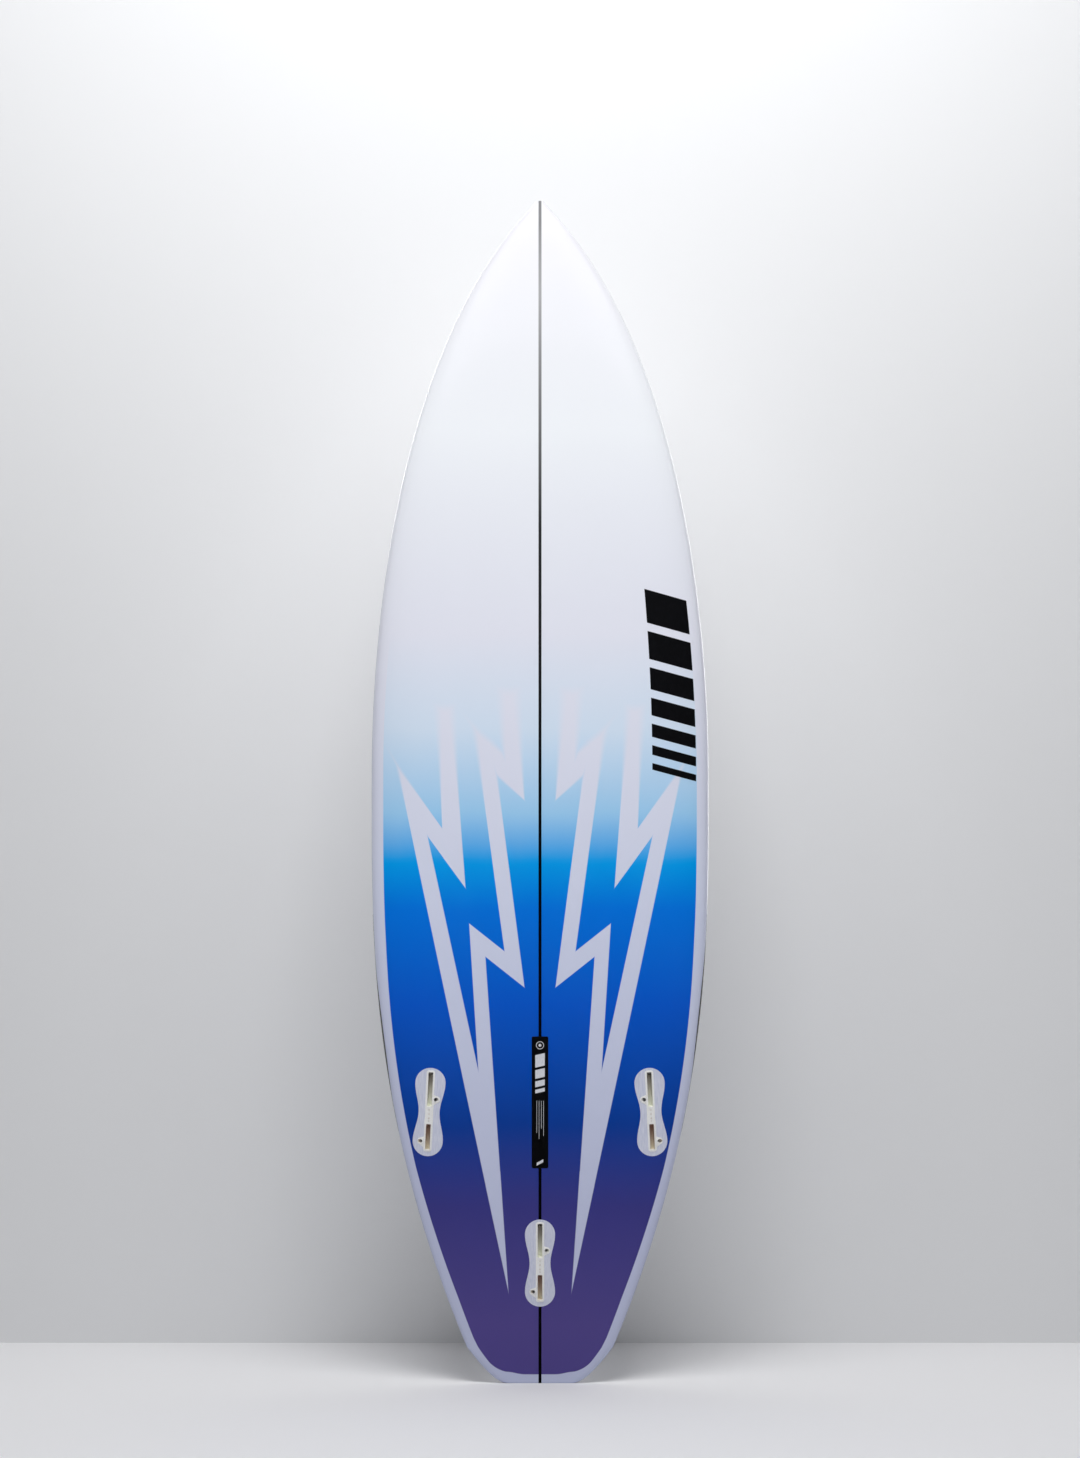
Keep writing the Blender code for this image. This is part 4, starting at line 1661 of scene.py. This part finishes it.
@dataclass
class LeashPlug:
    """The cup let into the deck, and the bar that the leash string is tied to."""

    radius: float = 0.0150
    bore: float = 0.0120
    depth: float = 0.0130
    floor: float = 0.0020
    bar_radius: float = 0.0020
    bar_depth: float = 0.0042
    bite: float = 0.0020
    flush: float = 0.06 * MM

    def place(self) -> Matrix:
        """The cup's own frame: z points out of the deck, and y along the board."""
        rim = find_mount("leash_cup_rim")
        out = Vector(rim["axis"]).normalized()
        low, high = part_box("leash_bar")
        centre = (low + high) / 2 + out * self.bar_depth
        across = out.cross(Vector((0.0, 0.0, 1.0))).normalized()
        place = Matrix((across, out.cross(across), out)).transposed().to_4x4()
        place.translation = centre
        return place

    def pocket(self) -> Object:
        """The cutter that opens the deck under the cup's rim."""
        cutter = drum("pocket", self.radius - 1.0 * MM, -self.depth, 0.006, (0.0, 0.0), 48)
        return place_mesh(cutter, self.place())

    def build(self, plastic: Material, metal: Material) -> None:
        """Make the cup and the bar."""
        r, b, f = self.radius, self.bore, self.flush
        profile = [
            (r - 1.0 * MM, -self.depth),
            (r, -self.depth + 1.0 * MM),
            (r, f - 0.4 * MM),
            (r - 0.15 * MM, f - 0.1 * MM),
            (r - 0.4 * MM, f),
            (b + 0.7 * MM, f),
            (b + 0.25 * MM, f - 0.15 * MM),
            (b, f - 0.6 * MM),
            (b, -self.depth + self.floor + 1.5 * MM),
            (b - 0.4 * MM, -self.depth + self.floor + 0.5 * MM),
            (b - 1.4 * MM, -self.depth + self.floor),
        ]
        cup = turned("leash_plug_cup", profile, 64)
        place_mesh(cup, self.place())
        soften(cup, 40.0)
        hand_over(cup, plastic, BOARD_BODY, "plug_plastic", "leash_cup")
        half = b + self.bite
        bar = turned(
            "leash_plug_bar",
            [
                (self.bar_radius - 0.3 * MM, -half),
                (self.bar_radius, -half + 0.3 * MM),
                (self.bar_radius, half - 0.3 * MM),
                (self.bar_radius - 0.3 * MM, half),
            ],
            32,
        )
        sunk = Matrix.Translation((0.0, 0.0, -self.bar_depth))
        place_mesh(bar, self.place() @ sunk @ Matrix.Rotation(math.pi / 2, 4, "Y"))
        soften(bar, 30.0)
        hand_over(bar, metal, BOARD_BODY, "stainless", "leash_bar")


# ---------------------------------------------------------------------------------------------
# Studio


@dataclass
class Studio:
    """A pale wall and floor, soft light from above, and the camera."""

    wall_y: float = 0.35
    eye_height: float = 0.8946
    eye_distance: float = 5.5
    lens: float = 99.11
    sensor: float = 36.0

    def backdrop(self, name: str, tint: str, one_sided: bool) -> Material:
        """A matt painted surface. A one-sided one can be looked through from behind."""
        material, tree, shader = new_material(name)
        look = {"Base Color": colour(tint), "Roughness": 1.0, "Specular IOR Level": 0.0}
        feed(tree, shader, look)
        if one_sided:
            behind = add_node(tree, "ShaderNodeNewGeometry").outputs["Backfacing"]
            clear = add_node(tree, "ShaderNodeBsdfTransparent").outputs[0]
            mix = add_node(
                tree, "ShaderNodeMixShader", {0: behind, 1: shader.outputs[0], 2: clear}
            )
            tree.links.new(mix.outputs[0], tree.nodes["Material Output"].inputs["Surface"])
        return material

    def build_room(self) -> None:
        """The wall behind the board and the floor under it."""
        deselect()
        bpy.ops.mesh.primitive_plane_add(size=1.0)
        wall = added("studio_wall")
        place_mesh(
            wall,
            Matrix.Translation((0.0, self.wall_y, 5.0))
            @ Matrix.Rotation(math.pi / 2, 4, "X")
            @ Matrix.Diagonal((16.0, 10.0, 1.0, 1.0)),
        )
        wall.data.materials.append(self.backdrop("matt_wall_paint", "#EDEEF0", True))
        deselect()
        bpy.ops.mesh.primitive_plane_add(size=24.0)
        floor = added("studio_floor")
        floor.data.materials.append(self.backdrop("matt_floor_paint", "#F1F1F3", False))
        floor.visible_glossy = False
        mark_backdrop(wall, floor)

    def lamp(
        self,
        name: str,
        place: tuple[float, float, float],
        aim: tuple[float, float, float],
        size: tuple[float, float],
        power: float,
    ) -> Object:
        """Add a soft box.

        Args:
            name: the lamp's name.
            place: where it hangs.
            aim: the point that it faces.
            size: its width and height.
            power: its power in watts.

        Returns:
            The lamp.
        """
        deselect()
        bpy.ops.object.light_add(type="AREA", location=place)
        lamp = added(name)
        lamp.data.shape = "RECTANGLE"
        lamp.data.size, lamp.data.size_y = size
        lamp.data.energy = power
        direction = Vector(aim) - Vector(place)
        lamp.rotation_euler = direction.to_track_quat("-Z", "Y").to_euler()
        return lamp

    def build_light(self) -> None:
        """The soft boxes over the board, a rear one for it alone, and a pale backdrop colour."""
        for lamp in (
            self.lamp("key_box", (0.0, -2.5, 4.5), (0.0, 0.2, 0.9), (2.0, 2.0), 100.0),
            self.lamp("near_box", (0.0, -0.9, 2.6), (0.0, 0.35, 0.9), (1.6, 0.5), 20.0),
        ):
            lamp.visible_glossy = False
        sheen = self.lamp("sheen_box", (0.0, -2.4, 4.2), (0.0, 0.0, 0.9), (3.6, 2.6), 30.0)
        sheen.visible_diffuse = False
        rear = [
            self.lamp("rear_left_box", (-1.8, 3.6, 2.6), (0.0, 0.0, 0.8), (2.0, 2.0), 55.0),
            self.lamp("rear_right_box", (2.2, 3.2, 1.4), (0.0, 0.0, 0.8), (1.5, 2.0), 30.0),
        ]
        fill = self.lamp("front_fill", (0.0, -0.95, 0.9), (0.0, 0.0, 0.9), (0.7, 0.3), 1.3)
        fill.visible_camera = False
        fill.visible_glossy = False
        board = bpy.data.collections.new("board_only")
        bpy.context.scene.collection.children.link(board)
        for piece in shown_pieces():
            board.objects.link(piece)
        for lamp in (*rear, fill):
            lamp.light_linking.receiver_collection = board
            lamp.light_linking.blocker_collection = board
        world = bpy.data.worlds.new("studio_air")
        bpy.context.scene.world = world
        world.use_nodes = True
        air = world.node_tree.nodes["Background"]
        air.inputs["Color"].default_value = colour("#D9DBE0")
        world.cycles_visibility.diffuse = False
        world.cycles_visibility.glossy = False

    def build_camera(self) -> None:
        """The camera, level with the middle of the board."""
        deselect()
        bpy.ops.object.camera_add(
            location=(0.0, -self.eye_distance, self.eye_height), rotation=(math.pi / 2, 0.0, 0.0)
        )
        camera = added("studio_camera")
        camera.data.lens = self.lens
        camera.data.sensor_width = self.sensor
        camera.data.clip_end = 100.0
        scene = bpy.context.scene
        scene.camera = camera
        scene.view_settings.view_transform = "Standard"

    def build(self) -> None:
        """Make the whole studio."""
        self.build_room()
        self.build_light()
        self.build_camera()


# ---------------------------------------------------------------------------------------------


def main() -> None:
    """Build every piece in order."""
    logging.basicConfig(level=logging.INFO, format="%(name)s: %(message)s")
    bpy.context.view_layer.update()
    deselect()
    form = BoardForm()

    foam = FoamFinish().material()
    wood = StringerFinish().material()
    for node, material in (("blank_left", foam), ("blank_right", foam), ("stringer", wood)):
        data = frame["nodes"][node].data
        data.materials.clear()
        data.materials.append(material)
        log.info("%s: kept from the frame", node)

    plugs = [
        FinPlug(form, PlugSite.read("left", 1, math.radians(-5.0))),
        FinPlug(form, PlugSite.read("right", -1, math.radians(5.0))),
        FinPlug(form, PlugSite.read("centre", 1, 0.0)),
    ]
    leash = LeashPlug()

    skins = Skins(form)
    bottom = skins.build("bottom_skin", Face.BOTTOM)
    combine(bottom, [plug.pocket() for plug in plugs], "DIFFERENCE")
    deck = skins.build("deck_skin", Face.DECK)
    combine(deck, [leash.pocket()], "DIFFERENCE")
    skins.dress(bottom, deck, SkinFinish())

    carbon = CarbonFinish().material()
    patches = CarbonPatches(form)
    for side in (-1, 1):
        patches.build(side, carbon)

    marks = PrintedMarks(form)
    ink = InkFinish("black_printed_paper", "#0B0B0E", "#17171B").material()
    pale = InkFinish("white_printed_paper", "#E4E6EC", "#CFD2DA").material()
    marks.rail_bars(ink)
    marks.label(ink, pale)

    nylon = PlasticFinish("glassed_over_nylon", "#DEE1F1", "#CDD2E7", 0.3).material()
    cup_nylon = PlasticFinish("moulded_white_nylon", "#E9E9EA", "#DADADD", 0.42).material()
    titanium = MetalFinish("turned_titanium", "#DEDAD2", 0.5).material()
    stainless = MetalFinish("machined_stainless_steel", "#C6C6CA", 0.42).material()
    finishes = PlugFinishes(
        nylon, SlotFinish().material(), titanium, stainless, RubberFinish().material()
    )
    for plug in plugs:
        plug.build(finishes)
    leash.build(cup_nylon, stainless)

    Studio().build()


if __name__ == "__main__":
    main()
